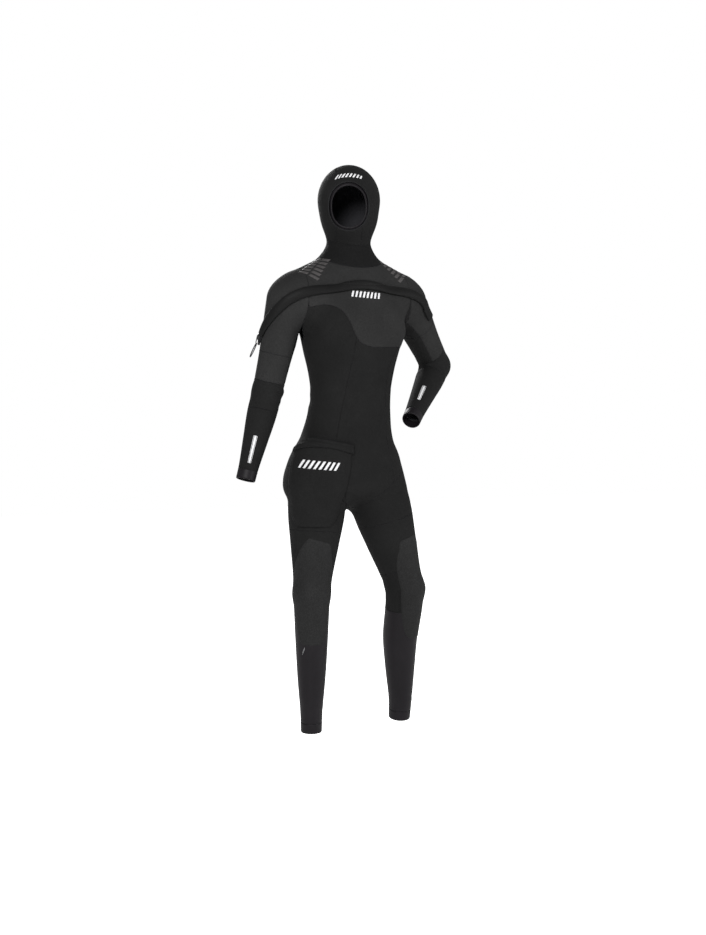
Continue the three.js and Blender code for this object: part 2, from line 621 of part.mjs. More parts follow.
for (const s of ['R', 'L']) {
  const sx = s === 'R' ? -1 : 1;
  const a = unit(sub(KNEE[s], HIP[s]));
  const f = unit(sub(ANKLE[s], KNEE[s]));
  const H = [HIP_SHIFT + (s === 'R' ? -4 : 24), CROTCH_Y, 655];
  const HK = bendHinge(KNEE[s], a, f, KNEE_REACH);
  const G = GROIN[s];
  const top = sub(HIP[s], mul(a, dot(sub(HIP[s], H), a)));
  const g1 = sub(HIP[s], mul(G.n, dot(sub(HIP[s], G.p), G.n)));
  const k0 = sub(KNEE[s], mul(a, KNEE_REACH));
  const k1 = add(KNEE[s], mul(f, KNEE_REACH));
  const h0 = sub(ANKLE[s], mul(f, HEM));
  const rings = [
    [0, sub(g1, mul(G.n, 30)), G.n],
    [0.1, g1, G.n],
    [0.14, sub(g1, mul(G.n, dot(sub(g1, H), G.n))), G.n, H],
    [0.3, top, a],
    [0.5, k0, a, HK],
    [0.6, KNEE[s], unit(add(a, f)), HK],
    [0.7, k1, f],
    [1, add(ANKLE[s], mul(f, 12)), f],
  ];
  const ray = tube(rings, LEG_FRONT[s]);
  const cut = { top: plane(top, a), k0: plane(k0, a), k1: plane(k1, f), h0: plane(h0, f), h1: plane(ANKLE[s], f) };
  legSets[s] = { ray, cut, a, f };
  const who = s === 'R' ? 'right' : 'left';
  ringPanel(`${who}_thigh_top`, ray, 0.2, G, cut.top, 5, JERSEY());
  ringPanel(`${who}_thigh`, ray, 0.42, cut.top, cut.k0, 5, JERSEY());
  const half = (name, c0, c1, material) => put(name, panel({
    ray, c0, c1, columns: 10, rows: 6, thick: SUIT_THICK, seed: 0.6,
    top: [flip(cut.k0)], bottom: [cut.k1], sTop: 0, sBottom: 1, scan: 60,
  }), material);
  half(`${who}_knee_front`, -80 + 0.2, 80 - 0.2, GRIP());
  half(`${who}_knee_back`, 80 + 0.2, 280 - 0.2, JERSEY());
  ringPanel(`${who}_shin`, ray, 0.85, cut.k1, cut.h0, 7, SKIN());
  ringPanel(`${who}_ankle_seal`, ray, 0.97, cut.h0, cut.h1, 1, SKIN(), { thick: SEAL_THICK });
}

// ---- pieces that lie on the suit --------------------------------------------------------------------
const seat = (o, d) => {
  const p = hit(o, unit(d));
  return { p, n: normalAt(p) };
};
// a plate over the surface: `on(u, v)` finds the surface, lo and hi are heights above it
const plate = (name, on, us, vs, lo, hi, material) => {
  const outer = [];
  const inner = [];
  for (const u of us) {
    const co = [];
    const ci = [];
    for (const v of vs) {
      const q = on(u, v);
      co.push(add(q.p, mul(q.n, typeof hi === 'function' ? hi(u, v) : hi)));
      ci.push(add(q.p, mul(q.n, typeof lo === 'function' ? lo(u, v) : lo)));
    }
    outer.push(co);
    inner.push(ci);
  }
  return put(name, shell(outer, inner, false, false), material);
};
const steps = (a, b, n) => Array.from({ length: n + 1 }, (_, i) => a + (b - a) * i / n);

// entry zip: it runs where the zip plane meets the form, from one sleeve over the chest to the other
const ZIP_EYE = [0, 30, 1384 - 1.15 * 118];
const ZW = unit([0, -1, 1.15]);
const zipAim = (deg) => {
  const a = rad(deg);
  const eye = [-185 * smooth(40, 85, -deg) + 90 * smooth(40, 85, deg), ZIP_EYE[1], ZIP_EYE[2]];
  return hit(eye, add([Math.sin(a), 0, 0], mul(ZW, Math.cos(a))));
};
// the same run measured in mm from the closed end on the right sleeve
const zipRun = [[-122, zipAim(-122), 0]];
for (let i = 1; i <= 200; i += 1) {
  const deg = -122 + i;
  const p = zipAim(deg);
  const before = zipRun[i - 1];
  zipRun.push([deg, p, before[2] + len(sub(p, before[1]))]);
}
const zipAt = (mm) => {
  let i = 0;
  while (i < zipRun.length - 2 && mm > zipRun[i + 1][2]) i += 1;
  const t = (mm - zipRun[i][2]) / (zipRun[i + 1][2] - zipRun[i][2]);
  return zipAim(zipRun[i][0] + t);
};
const zipFrame = (mm) => {
  const p = zipAt(mm);
  const T = unit(sub(zipAt(mm + 3), zipAt(mm - 3)));
  const n0 = normalAt(p);
  const n = unit(sub(n0, mul(T, dot(n0, T))));
  return { p, T, n, b: cross(n, T) };
};
const onZip = (mm, u) => {
  const f = zipFrame(mm);
  const q = add(f.p, mul(f.b, u));
  return seat(sub(q, mul(f.n, 34)), f.n);
};
const ZIP_LONG = 690;           // length of the tooth rows
const ZIP_LIFT = 3.3;           // how far the zip rides off the seam below it
const SLIDER_AT = 16;
const UP = dot(zipFrame(300).b, [0, 0, 1]) > 0 ? 1 : -1;
const zipPlate = (name, a0, a1, n, us, lo, hi, material) => plate(name, (a, u) => onZip(a, u * UP), steps(a0, a1, n), us, lo, hi, material);
const tapeIn = 0.8;
const tapeOut = tapeIn + ZIP_TAPE_WIDTH;
const L0 = ZIP_LIFT;
zipPlate('zip_tape_lower', 4, ZIP_LONG, 44, [-tapeOut, -tapeOut / 2, -tapeIn], L0, L0 + 1.2, JERSEY());
zipPlate('zip_tape_upper', 4, ZIP_LONG, 44, [tapeIn, tapeOut / 2, tapeOut], L0, L0 + 1.2, JERSEY());
zipPlate('zip_teeth_lower', 6, ZIP_LONG - 3, 46, [-3.4, -0.3], L0 + 1.9, L0 + 4, PLASTIC());
zipPlate('zip_teeth_upper', 6, ZIP_LONG - 3, 46, [0.3, 3.4], L0 + 1.9, L0 + 4, PLASTIC());
const flapHeight = (u) => {
  const k = curve([[-ZIP_FLAP_WIDTH / 2, 2.4], [-7, 4.6], [0, 5.4], [7, 4.6], [ZIP_FLAP_WIDTH / 2 + 0.5, 1.6]], u)[0];
  return k + L0 - 0.4;
};
const flapUs = [-ZIP_FLAP_WIDTH / 2, -9, -4.5, 0, 4.5, 9, ZIP_FLAP_WIDTH / 2 + 0.5];
zipPlate('zip_cover_flap', SLIDER_AT + 13, ZIP_LONG + 8, 44, flapUs, (a, u) => flapHeight(u), (a, u) => flapHeight(u) + 2.4, FLAP());
zipPlate('zip_under_flap', 250, 470, 14, [-16, 0, 16], -SUIT_THICK - 4.4, -SUIT_THICK - 2.4, JERSEY());
zipPlate('zip_end_dock', -10, 3.6, 3, [-11, -4, 4, 11], L0, L0 + 5, PLASTIC());

// slider: a channel that straddles the teeth
const atFrame = (f, pts) => pts.map((q) => add(add(add(f.p, mul(f.T, q[0])), mul(f.b, q[1] * UP)), mul(f.n, q[2])));
const prism = (name, f, outline, x0, x1, material) => {
  // outline: points [across, height] round the section; x0..x1 along the zip
  const flat = new THREE.Shape(outline.map((q) => new THREE.Vector2(q[0], q[1])));
  const g = new THREE.ExtrudeGeometry(flat, { depth: x1 - x0, bevelEnabled: false, steps: 1 });
  const at = g.getAttribute('position');
  const pos = [];
  for (let i = 0; i < at.count; i += 1) pos.push(...atFrame(f, [[x0 + at.getZ(i), at.getX(i), at.getY(i)]])[0]);
  const idx = steps(0, at.count - 1, at.count - 1).map(Math.round);
  return put(name, geometry(pos, idx), material);
};
const fs = zipFrame(SLIDER_AT);
const channel = [[-6.5, 1.8], [-6.5, 5.8], [-4.5, 7.4], [4.5, 7.4], [6.5, 5.8], [6.5, 1.8], [4.3, 1.8], [4.3, 4.8], [-4.3, 4.8], [-4.3, 1.8]].map((q) => [q[0], q[1] + L0]);
prism('zip_slider', fs, channel, -8, 8, PLASTIC());
const tab = [[-3.5, 7.9], [-3.5, 9.9], [3.5, 9.9], [3.5, 7.9]].map((q) => [q[0], q[1] + L0]);
prism('zip_pull_tab', fs, tab, -22, 5, PLASTIC());

// pull cord: a loop through the tab's end that stands off the sleeve
const loopAt = (t) => {
  const a = t * Math.PI * 2;
  const along = -50 + 26 * Math.cos(a);
  const off = 12 - 2.5 * Math.cos(a);
  return atFrame(fs, [[along, 6.5 * Math.sin(a), off + 4.5 * Math.sin(a / 2) ** 2]])[0];
};
const ringTube = (name, path, n, r, sides, material) => {
  const outer = [];
  for (let i = 0; i < n; i += 1) {
    const p = path(i / n);
    const T = unit(sub(path((i + 0.5) / n), path((i - 0.5) / n)));
    const u = unit(cross(T, fs.n));
    const v = cross(T, u);
    const col = [];
    for (let j = 0; j < sides; j += 1) {
      const a = j / sides * Math.PI * 2;
      col.push(add(p, add(mul(u, r * Math.cos(a)), mul(v, r * Math.sin(a)))));
    }
    outer.push(col);
  }
  const pos = [];
  outer.forEach((c) => c.forEach((p) => pos.push(...p)));
  const idx = [];
  for (let i = 0; i < n; i += 1) {
    for (let j = 0; j < sides; j += 1) {
      const a = i * sides + j;
      const b = i * sides + (j + 1) % sides;
      const c = ((i + 1) % n) * sides + (j + 1) % sides;
      const d = ((i + 1) % n) * sides + j;
      idx.push(a, b, c, a, c, d);
    }
  }
  return put(name, geometry(pos, idx), material);
};
ringTube('zip_pull_cord', loopAt, 26, CORD_D / 2, 8, JERSEY());

// ---- cargo pocket on the right hip and thigh ---------------------------------------------------------
const POCKET_Z = 800;
const onPocket = (u, v) => {
  const t = clamp((v + 130) / 260, 0, 1);
  const o = [-106 + 30 * t, 12, POCKET_Z + v];
  const a = rad(-34) + u / 92;
  return seat(o, [Math.sin(a), -Math.cos(a), 0]);
};
const PW = POCKET_WIDTH / 2;
const PH = POCKET_HEIGHT / 2;
const pocketHalf = (v) => PW * (0.8 + 0.2 * smooth(-PH, PH * 0.6, v)) * Math.sqrt(Math.max(1 - Math.max((-v - PH + 46) / 60, 0) ** 2, 0.1));
const pocketGrid = (k, v) => onPocket(k * pocketHalf(v), v);
const ks = [-1, -0.9, -0.72, -0.45, -0.15, 0.15, 0.45, 0.72, 0.9, 1];
const pvs = [-PH, -PH + 8, -PH + 22, -PH + 45, -40, 0, 40, PH - 40, PH - 14];
plate('pocket_backing', pocketGrid, ks, [...pvs.slice(0, -1), PH - 14, PH], 1.8, 3, JERSEY());
const puff = (k, v) => {
  const across = 1 - Math.abs(k) ** 5;
  const foot = smooth(-PH - 2, -PH + 34, v);
  return 3.4 + (POCKET_DEPTH - 6) * across * foot;
};
plate('pocket_face', pocketGrid, ks, pvs, (k, v) => puff(k, v), (k, v) => puff(k, v) + 2.6, JERSEY());
const flapV = [PH - 26, PH - 16, PH - 4, PH + 5];
const flapLift = (k, v) => (v > PH ? 2 : puff(k, PH - 14) + 3.2 + (v < PH - 10 ? 1.2 : 0));
plate('pocket_flap', (k, v) => onPocket(k * (PW + 3), v), ks, flapV, flapLift, (k, v) => flapLift(k, v) + 2.6, JERSEY());

// ---- badges and labels --------------------------------------------------------------------------------
const chestBadge = (u, v) => seat([u, 0, 1332 + v], [0, -1, 0]);
plate('chest_badge', chestBadge, steps(-50, 50, 6), [-12, 0, 12], 2.2, 3, LIGHT());
const hoodBadge = (u, v) => seat(add(EYE, mul(HX, u * 0.4)), add(add(mul(HF, 60), mul(HX, u * 0.62)), mul(HU, 62 + v)));
plate('hood_badge', hoodBadge, steps(-34, 34, 6), [-9, 0, 9], 0.9, 1.6, LIGHT());
const pocketBadge = (u, v) => {
  const q = onPocket(u, 56 + v - u * 0.09);
  return { p: add(q.p, mul(q.n, puff(clamp(u / PW, -0.6, 0.6), 50) + 2.6)), n: q.n };
};
plate('pocket_badge', pocketBadge, steps(-44, 40, 6), [-12, 0, 12], 0.9, 1.6, LIGHT());
const onArm = (s, at, toward) => (u, v) => {
  const A = armSets[s];
  const c = add(WRIST[s], mul(A.f, -at - v));
  const d0 = unit(sub(toward, mul(A.f, dot(toward, A.f))));
  const e = cross(A.f, d0);
  return seat(c, add(d0, mul(e, u / 34)));
};
plate('right_forearm_label', onArm('R', 86, [-0.47, -0.88, 0]), [-5, 0, 5], steps(-40, 40, 5), 0.9, 1.6, LIGHT());
plate('left_forearm_label', onArm('L', 92, [-0.6, -0.8, 0]), [-5, 0, 5], steps(-30, 30, 4), 0.9, 1.6, LIGHT());
const onShin = (u, v) => {
  const A = legSets.R;
  const c = add(ANKLE.R, mul(A.f, -246 - v - u * 0.7));
  return seat(c, [-0.8 + u / 60, -0.55, 0]);
};
plate('right_shin_label', onShin, steps(-13, 13, 4), [-4, 4], 0.9, 1.6, LIGHT());

export default suit;
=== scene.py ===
# %% [markdown]
# # Hooded semi-dry wetsuit
# A full wetsuit with an attached hood, standing in the shape of the person it was cut for. On the real
# thing it is about fifty pieces of neoprene, glued edge to edge and stitched. It could be sculpted as one
# skin and painted, but then it would not bend or come apart like the real suit. Here every panel is its
# own closed sheet of rubber, cut out of one shared body form, so all the panels meet in clean seams.
# %% Start
import bpy
import math
import numpy as np
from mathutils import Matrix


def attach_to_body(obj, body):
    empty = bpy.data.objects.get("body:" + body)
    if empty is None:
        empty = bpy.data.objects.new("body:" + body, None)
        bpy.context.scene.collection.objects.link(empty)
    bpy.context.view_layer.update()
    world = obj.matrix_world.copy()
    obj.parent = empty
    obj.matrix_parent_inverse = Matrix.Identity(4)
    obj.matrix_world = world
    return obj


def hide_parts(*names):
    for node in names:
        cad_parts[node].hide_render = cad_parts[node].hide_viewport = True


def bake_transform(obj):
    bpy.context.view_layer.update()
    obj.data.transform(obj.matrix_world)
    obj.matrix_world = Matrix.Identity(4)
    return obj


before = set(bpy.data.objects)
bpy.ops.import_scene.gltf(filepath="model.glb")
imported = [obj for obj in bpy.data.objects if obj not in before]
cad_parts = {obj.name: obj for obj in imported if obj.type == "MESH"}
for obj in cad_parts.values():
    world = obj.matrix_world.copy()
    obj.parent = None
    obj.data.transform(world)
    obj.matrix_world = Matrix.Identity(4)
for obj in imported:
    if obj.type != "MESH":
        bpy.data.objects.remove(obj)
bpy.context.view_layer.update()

# %% [markdown]
# ## Sizes
# The sizes are in millimetres, like a cutting table's. Neoprene comes in sheets: 5.5 mm for the body,
# 5 mm for the hood, and 3 mm smooth rubber for the seals that grip the skin.
# %% Sizes
SUIT_THICK = 5.5
HOOD_THICK = 5.0
SEAL_THICK = 3.0
SEAM_GAP = 0.3
HOOD_TOP_Z = 1725.0
HOOD_WIDTH = 182.0
FACE_WIDTH = 132.0
FACE_HEIGHT = 134.0
HEAD_YAW = math.radians(-28)
HIP_SHIFT = -18.0
ZIP_LIFT = 3.3
ZIP_LONG = 690.0
FLAP_WIDTH = 27.0
TOOTH_PITCH = 3.4
POCKET_WIDTH = 165.0
POCKET_HEIGHT = 236.0
POCKET_DEPTH = 16.0
STITCH_PITCH = 3.2
A = np.array


def unit(v):
    v = np.asarray(v, float)
    return v / np.maximum(np.linalg.norm(v, axis=-1, keepdims=True), 1e-9)


def smooth(a, b, v):
    t = np.clip((np.asarray(v, float) - a) / (b - a), 0, 1)
    return t * t * (3 - 2 * t)


def curve(rows, t):
    """A smooth line through the rows [t, value, value...], read at many t at once."""
    rows = np.asarray(rows, float)
    x, v = rows[:, 0], rows[:, 1:]
    t = np.clip(np.asarray(t, float), x[0], x[-1])
    i = np.clip(np.searchsorted(x, t) - 1, 0, len(x) - 2)
    a, b = np.maximum(i - 1, 0), np.minimum(i + 2, len(x) - 1)
    h = x[i + 1] - x[i]
    u = ((t - x[i]) / h)[..., None]
    m1 = (v[i + 1] - v[a]) * (h / (x[i + 1] - x[a]))[..., None]
    m2 = (v[b] - v[i]) * (h / (x[b] - x[i]))[..., None]
    u2, u3 = u * u, u * u * u
    return (2 * u3 - 3 * u2 + 1) * v[i] + (u3 - 2 * u2 + u) * m1 + (3 * u2 - 2 * u3) * v[i + 1] + (u3 - u2) * m2


# %% [markdown]
# ## The body form
# A wetsuit is patterned on a body. A scanned body would be heavy and belongs to someone; a lathe could
# not make shoulders. So the form is a distance field: ovals for limbs, a stack of ovals for the trunk,
# and a few balls, joined with soft fillets. A point is inside where the field is below zero.
# %% Building blocks of the form
def join(a, b, k):
    h = np.maximum(k - np.abs(a - b), 0) / k
    return np.minimum(a, b) - h * h * k * 0.25


def limb(a, b, front, rows):
    a, b = A(a, float), A(b, float)
    length = np.linalg.norm(b - a)
    axis = (b - a) / length
    e2 = unit(A(front, float) - axis * (A(front, float) @ axis))
    e1 = np.cross(axis, e2)

    def field(p):
        q = p - a
        along = q @ axis
        r = curve(rows, np.clip(along / length, 0, 1))
        over = along - np.clip(along, 0, length)
        m = np.minimum(r[:, 0], r[:, 1])
        x, y = (q @ e1) / r[:, 0], (q @ e2 + r[:, 2]) / r[:, 1]
        return (np.sqrt(x * x + y * y + (over / m) ** 2) - 1) * m

    return field


def ball(c, r, yaw=0.0):
    c, s, k = A(c, float), math.sin(yaw), math.cos(yaw)

    def field(p):
        q = p - c
        x = (q[:, 0] * k + q[:, 1] * s) / r[0]
        y = (-q[:, 0] * s + q[:, 1] * k) / r[1]
        return (np.sqrt(x * x + y * y + (q[:, 2] / r[2]) ** 2) - 1) * min(r)

    return field


# %% Where the joints of the wearer are
FRONT = (0, -1, 0)
SHOULDER = {"R": A([-195.0, 20, 1330]), "L": A([195.0, 20, 1330])}
ELBOW = {"R": A([-243.0, 58, 1068]), "L": A([361.0, 122, 1145])}
WRIST = {"R": A([-322.0, 38, 815]), "L": A([198.0, -9, 981])}
HIP = {"R": A([HIP_SHIFT - 84, 6, 845]), "L": A([HIP_SHIFT + 84, 6, 845])}
KNEE = {"R": A([-132.0, -5, 482]), "L": A([168.0, -28, 482])}
ANKLE = {"R": A([-122.0, 18, 72]), "L": A([198.0, 60, 78])}
LEG_FRONT = {"R": A([-0.47, -0.88, 0]), "L": A([0.53, -0.85, 0])}
ARM_FRONT = {"R": A([-0.2, -1, 0]), "L": A([-0.6, -0.6, -0.4])}
# trunk stations: height, half width, half depth, centre x, centre y
TORSO = [
    [700, 120, 88, HIP_SHIFT, 18],
    [760, 168, 112, HIP_SHIFT, 20],
    [815, 172, 118, HIP_SHIFT, 22],
    [867, 158, 114, HIP_SHIFT + 4, 20],
    [937, 137, 104, HIP_SHIFT + 9, 12],
    [1000, 124, 96, -4, 6],
    [1066, 119, 93, 0, 4],
    [1125, 126, 98, 0, 4],
    [1185, 142, 110, 0, 0],
    [1240, 154, 118, 0, -3],
    [1290, 156, 112, 0, 3],
    [1340, 150, 100, 0, 10],
    [1385, 128, 82, 0, 14],
]
UPPER_ARM = [[0, 62, 62, 0], [0.3, 55, 57, 0], [0.6, 48, 51, 0], [1, 43, 45, 0]]
FOREARM = [[0, 43, 45, 0], [0.25, 43, 44, 0], [0.55, 36, 38, 0], [0.85, 29, 31, 0], [1, 28, 30, 0]]
THIGH = [[0, 84, 88, 0], [0.35, 83, 88, 0], [0.6, 71, 76, 0], [0.85, 58, 61, 0], [1, 54, 57, 0]]
SHIN = [[0, 53, 57, 0], [0.15, 51, 56, 3], [0.38, 47, 53, 10], [0.62, 41, 45, 6], [0.85, 33, 36, 0], [1, 31, 33, 0]]
NECK = [[0, 82, 80, 0], [0.35, 72, 72, 0], [0.6, 63, 67, 0], [1, 64, 72, 0]]


def torso(p):
    z = np.clip(p[:, 2], 796, 1372)
    s = curve(TORSO, z)
    over = (p[:, 2] - z) / 62
    x, y = np.abs(p[:, 0] - s[:, 2]) / s[:, 0], np.abs(p[:, 1] - s[:, 3]) / s[:, 1]
    flat = (x**2.3 + y**2.3) ** (1 / 2.3)
    return (np.sqrt(flat * flat + (over * 0.9) ** 2) - 1) * np.minimum(s[:, 0], s[:, 1])


bust = [ball([sx * 62, -78, 1252], [62, 46, 62]) for sx in (-1, 1)]
pecs = [ball([sx * 142, -2, 1338], [56, 56, 52]) for sx in (-1, 1)]
seat_balls = [ball([HIP_SHIFT + sx * 62, 78, 800], [80, 62, 78]) for sx in (-1, 1)]
traps = [limb([sx * 42, 16, 1438], [sx * 158, 20, 1370], FRONT, [[0, 38, 44, 0], [1, 46, 52, 0]]) for sx in (-1, 1)]
neck = limb([-2, 14, 1400], [-6, 2, 1560], FRONT, NECK)
skull = ball([-6, 2, HOOD_TOP_Z - 103], [HOOD_WIDTH / 2, 110, 103], HEAD_YAW)
jaw_at = [-6 + 22 * math.sin(HEAD_YAW), -22 * math.cos(HEAD_YAW), HOOD_TOP_Z - 161]
jaw = ball(jaw_at, [77, 84, 68], HEAD_YAW)
LIMBS = {}
for s in "RL":
    LIMBS[s] = [
        limb(SHOULDER[s], ELBOW[s], ARM_FRONT[s], UPPER_ARM),
        limb(ELBOW[s], WRIST[s], ARM_FRONT[s], FOREARM),
        limb(HIP[s], KNEE[s], LEG_FRONT[s], THIGH),
        limb(KNEE[s], ANKLE[s], LEG_FRONT[s], SHIN),
    ]


def near(field, p, where):
    """The field only where a body part can matter, and far away elsewhere."""
    out = np.full(len(p), 600.0)
    if where.any():
        out[where] = field(p[where])
    return out


def form(p):
    x, z = p[:, 0], p[:, 2]
    d = near(torso, p, (z > 620) & (z < 1560))
    chest = (z > 1080) & (z < 1520)
    for f in bust:
        d = join(d, near(f, p, chest), 34)
    for f in pecs:
        d = join(d, near(f, p, chest), 50)
    for f in seat_balls:
        d = join(d, near(f, p, (z > 620) & (z < 980)), 40)
    for f in traps:
        d = join(d, near(f, p, (z > 1200) & (z < 1620)), 40)
    d = join(d, near(neck, p, z > 1240), 40)
    head = z > 1360
    d = join(d, join(near(skull, p, head), near(jaw, p, head), 24), 24)
    legs = []
    for s, sx in (("R", -1), ("L", 1)):
        out = (z > 700) & (z < 1500) & (x * sx > 60)
        arm = join(near(LIMBS[s][0], p, out), near(LIMBS[s][1], p, out), 12)
        d = join(d, arm, 8 + 38 * smooth(1195, 1290, z))
        low = z < 1060
        legs.append(join(near(LIMBS[s][2], p, low), near(LIMBS[s][3], p, low), 14))
    return join(d, join(legs[0], legs[1], 8), 30)


def normal_at(p):
    g = [form(p + e) - form(p - e) for e in np.eye(3) * 1.5]
    return unit(np.stack(g, -1))


def hit(o, d):
    """Where rays that start inside the form leave it."""
    o, d = np.broadcast_arrays(np.asarray(o, float), np.asarray(d, float))
    n = len(o)
    t = np.concatenate([np.arange(0, 100, 10.0), np.arange(100, 421, 20.0)])
    f = form((o[:, None] + d[:, None] * t[None, :, None]).reshape(-1, 3)).reshape(n, -1)
    i = np.maximum(np.argmax(f > 0, axis=1), 1)
    k = np.arange(n)
    a, b = t[i - 1], t[i]
    fa, fb = f[k, i - 1], f[k, i]
    for turn in range(9):
        m = (a + b) / 2 if turn % 2 == 0 else a + (b - a) * np.clip(-fa / np.where(fb == fa, 1, fb - fa), 0.04, 0.96)
        fm = form(o + d * m[:, None])
        low = fm < 0
        a, fa = np.where(low, m, a), np.where(low, fm, fa)
        b, fb = np.where(low, b, m), np.where(low, fb, fm)
    m = a + (b - a) * np.clip(-fa / np.where(fb == fa, 1, fb - fa), 0, 1)
    return o + d * m[:, None]


print("the form is", round(float(form(A([[0.0, 0, 1100]]))[0]), 1), "mm deep at the waist")

# %% [markdown]
# ## Creases
# Rubber this thick hardly wrinkles, but it does buckle into soft rolls inside an elbow, at the armpits,
# in the groin and behind the knees. A cloth simulation would flatten the panels' cut. Each roll is listed
# instead: a point, the way across it, how wide, how deep and how far it reaches.
# %% Creases
CREASES = [
    # x, y, z, across x, y, z, half width, depth, reach
    [-212, 20, 1085, 0, 0.3, 1, 7, 2.2, 40],
    [-222, 10, 1058, 0, 0.4, 1, 8, 2.4, 42],
    [-235, 12, 1034, 0.2, 0.2, 1, 7, 1.6, 36],
    [318, 92, 1118, 1, 0.6, 1, 7, 3.0, 38],
    [330, 70, 1128, 1, 0.2, 0.6, 8, 2.4, 40],
    [300, 100, 1140, 1, 1, 0.3, 8, 2.0, 40],
    [-160, -30, 1262, 1, 0, 0.9, 8, 2.2, 46],
    [-146, -52, 1282, 1, 0.3, 0.6, 9, 1.8, 44],
    [158, -34, 1250, -1, 0, 0.9, 8, 2.4, 50],
    [146, -56, 1268, -1, 0.3, 0.6, 9, 1.8, 46],
    [-60, -92, 770, 0.5, 0, 1, 9, 2.2, 58],
    [30, -92, 766, -0.5, 0, 1, 9, 2.2, 58],
    [74, -86, 800, -0.6, 0, 1, 10, 1.6, 60],
    [-8, -90, 1010, 0.1, 0, 1, 12, 1.2, 90],
    [10, -92, 1068, -0.15, 0, 1, 12, 1.1, 80],
    [-110, 40, 1040, 0, 0, 1, 11, 1.6, 70],
    [100, 40, 1052, 0, 0, 1, 11, 1.6, 70],
    [-118, 60, 505, 0.1, 0, 1, 9, 2.4, 48],
    [-124, 58, 470, -0.1, 0, 1, 9, 2.0, 44],
    [150, 40, 500, 0.1, 0.2, 1, 9, 2.6, 48],
    [156, 44, 462, 0, 0.2, 1, 9, 2.2, 44],
    [-120, 70, 742, 0.2, 0, 1, 11, 2.4, 70],
    [60, 72, 736, -0.2, 0, 1, 11, 2.4, 70],
    [-118, -30, 140, 0.2, 0, 1, 6, 1.2, 36],
    [204, 30, 150, 0.1, 0, 1, 6, 1.2, 36],
]


def creases(p):
    out = np.zeros(len(p))
    for row in A(CREASES, float):
        q = p - row[:3]
        across = q @ unit(row[3:6])
        off = np.sqrt(np.maximum((q * q).sum(-1) - across**2, 0))
        wave = np.exp(-((across / row[6]) ** 2)) - 0.55 * np.exp(-(((np.abs(across) - 1.8 * row[6]) / row[6]) ** 2))
        out -= row[7] * wave * np.exp(-((off / row[8]) ** 2))
    return out


# %% [markdown]
# ## Cutting panels
# A panel is a sheet between borders. Rays from inside the form find its outer face; a border is where a
# cut (a plane or any other side test) is crossed. Cutting one big mesh with booleans would leave ragged
# triangles along the seams, so the grid of each panel is stretched to fit its own borders instead. Near
# a border the face rolls in by under a millimetre, as glued edges do, and that makes the seam line.
# %% Cuts
def plane(p, n):
    p, n = A(p, float), unit(n)
    return lambda q: (q - p) @ n + SEAM_GAP / 2


def flip(p, n):
    return plane(p, -A(n, float))


def either(*cuts):
    return lambda q: np.min([c(q) for c in cuts], axis=0)


# %% The panel cutter
ROLL = [0, 0.5, 1.2, 2.2, 3.6, 5.5]


def find_edge(ray, c, seed, cuts, s_end):
    lo = np.array(seed(c) if callable(seed) else np.full(len(c), float(seed)))
    hi = np.full(len(c), float(s_end))
    found = np.full(len(c), -1)
    for level in (24, 10, 10):
        s = lo[:, None] + (hi - lo)[:, None] * np.linspace(0, 1, level + 1)
        p = hit(*ray(np.repeat(c, level + 1), s.reshape(-1)))
        if not cuts:
            return hi, found
        d = np.stack([cut(p).reshape(len(c), -1) for cut in cuts])
        bad = (d > 0).any(axis=0)
        bad[:, 0] = False
        none = ~bad.any(axis=1)
        i = np.where(none, level, np.maximum(np.argmax(bad, axis=1), 1))
        k = np.arange(len(c))
        lo, hi = s[k, i - 1], s[k, i]
        found = np.where(none, found, np.argmax(d[:, k, i], axis=0))
    return lo, found


def panel_grid(ray, cols, seed, top, bottom, s_top, s_bottom, rows, closed, pole=False):
    """Columns of points on the form between two borders, with how far each lies from a border."""
    c = np.asarray(cols, float)
    for again in (0, 1):
        t, kt = find_edge(ray, c, seed, top, s_top)
        b, kb = find_edge(ray, c, seed, bottom, s_bottom)
        if again:
            break
        jump = np.nonzero((kt[1:] != kt[:-1]) | (kb[1:] != kb[:-1]))[0]
        extra = [c[j] + (c[j + 1] - c[j]) * np.linspace(0.12, 0.88, 6) for j in jump]
        c = np.unique(np.concatenate([c, *extra])) if extra else c
    u = np.linspace(0, 1, 9)
    p = hit(*ray(np.repeat(c, 9), (t[:, None] + (b - t)[:, None] * u).reshape(-1))).reshape(len(c), 9, 3)
    length = np.maximum(np.linalg.norm(np.diff(p, axis=1), axis=-1).sum(1), 14)
    roll = A(ROLL)[None] / length[:, None]
    top_roll = np.zeros((len(c), 1)) if pole else roll
    first, last = top_roll[:, -1:], 1 - roll[:, -1:]
    even = first + (last - first) * np.linspace(0, 1, rows + 2)[None, 1:-1]
    g = np.concatenate([top_roll, even, 1 - roll[:, ::-1]], axis=1)
    s = t[:, None] + (b - t)[:, None] * g
    p = hit(*ray(np.repeat(c, s.shape[1]), s.reshape(-1)))
    n = normal_at(p)
    edge = np.minimum(1e3 if pole else g * length[:, None], (1 - g) * length[:, None])
    if not closed:
        q = p.reshape(s.shape + (3,))
        across = np.cumsum(np.linalg.norm(np.diff(q, axis=0), axis=-1), axis=0)
        across = np.concatenate([np.zeros((1, s.shape[1])), across])
        edge = np.minimum(edge, np.minimum(across, across[-1] - across))
    return p.reshape(s.shape + (3,)), n.reshape(s.shape + (3,)), edge


def graded(c0, c1, count, radius):
    """Column angles from c0 to c1, closer together beside the two side borders."""
    near_edge = np.degrees(A(ROLL) / radius)
    middle = np.linspace(c0 + near_edge[-1], c1 - near_edge[-1], count + 2)[1:-1]
    return np.concatenate([c0 + near_edge, middle, c1 - near_edge[::-1]])


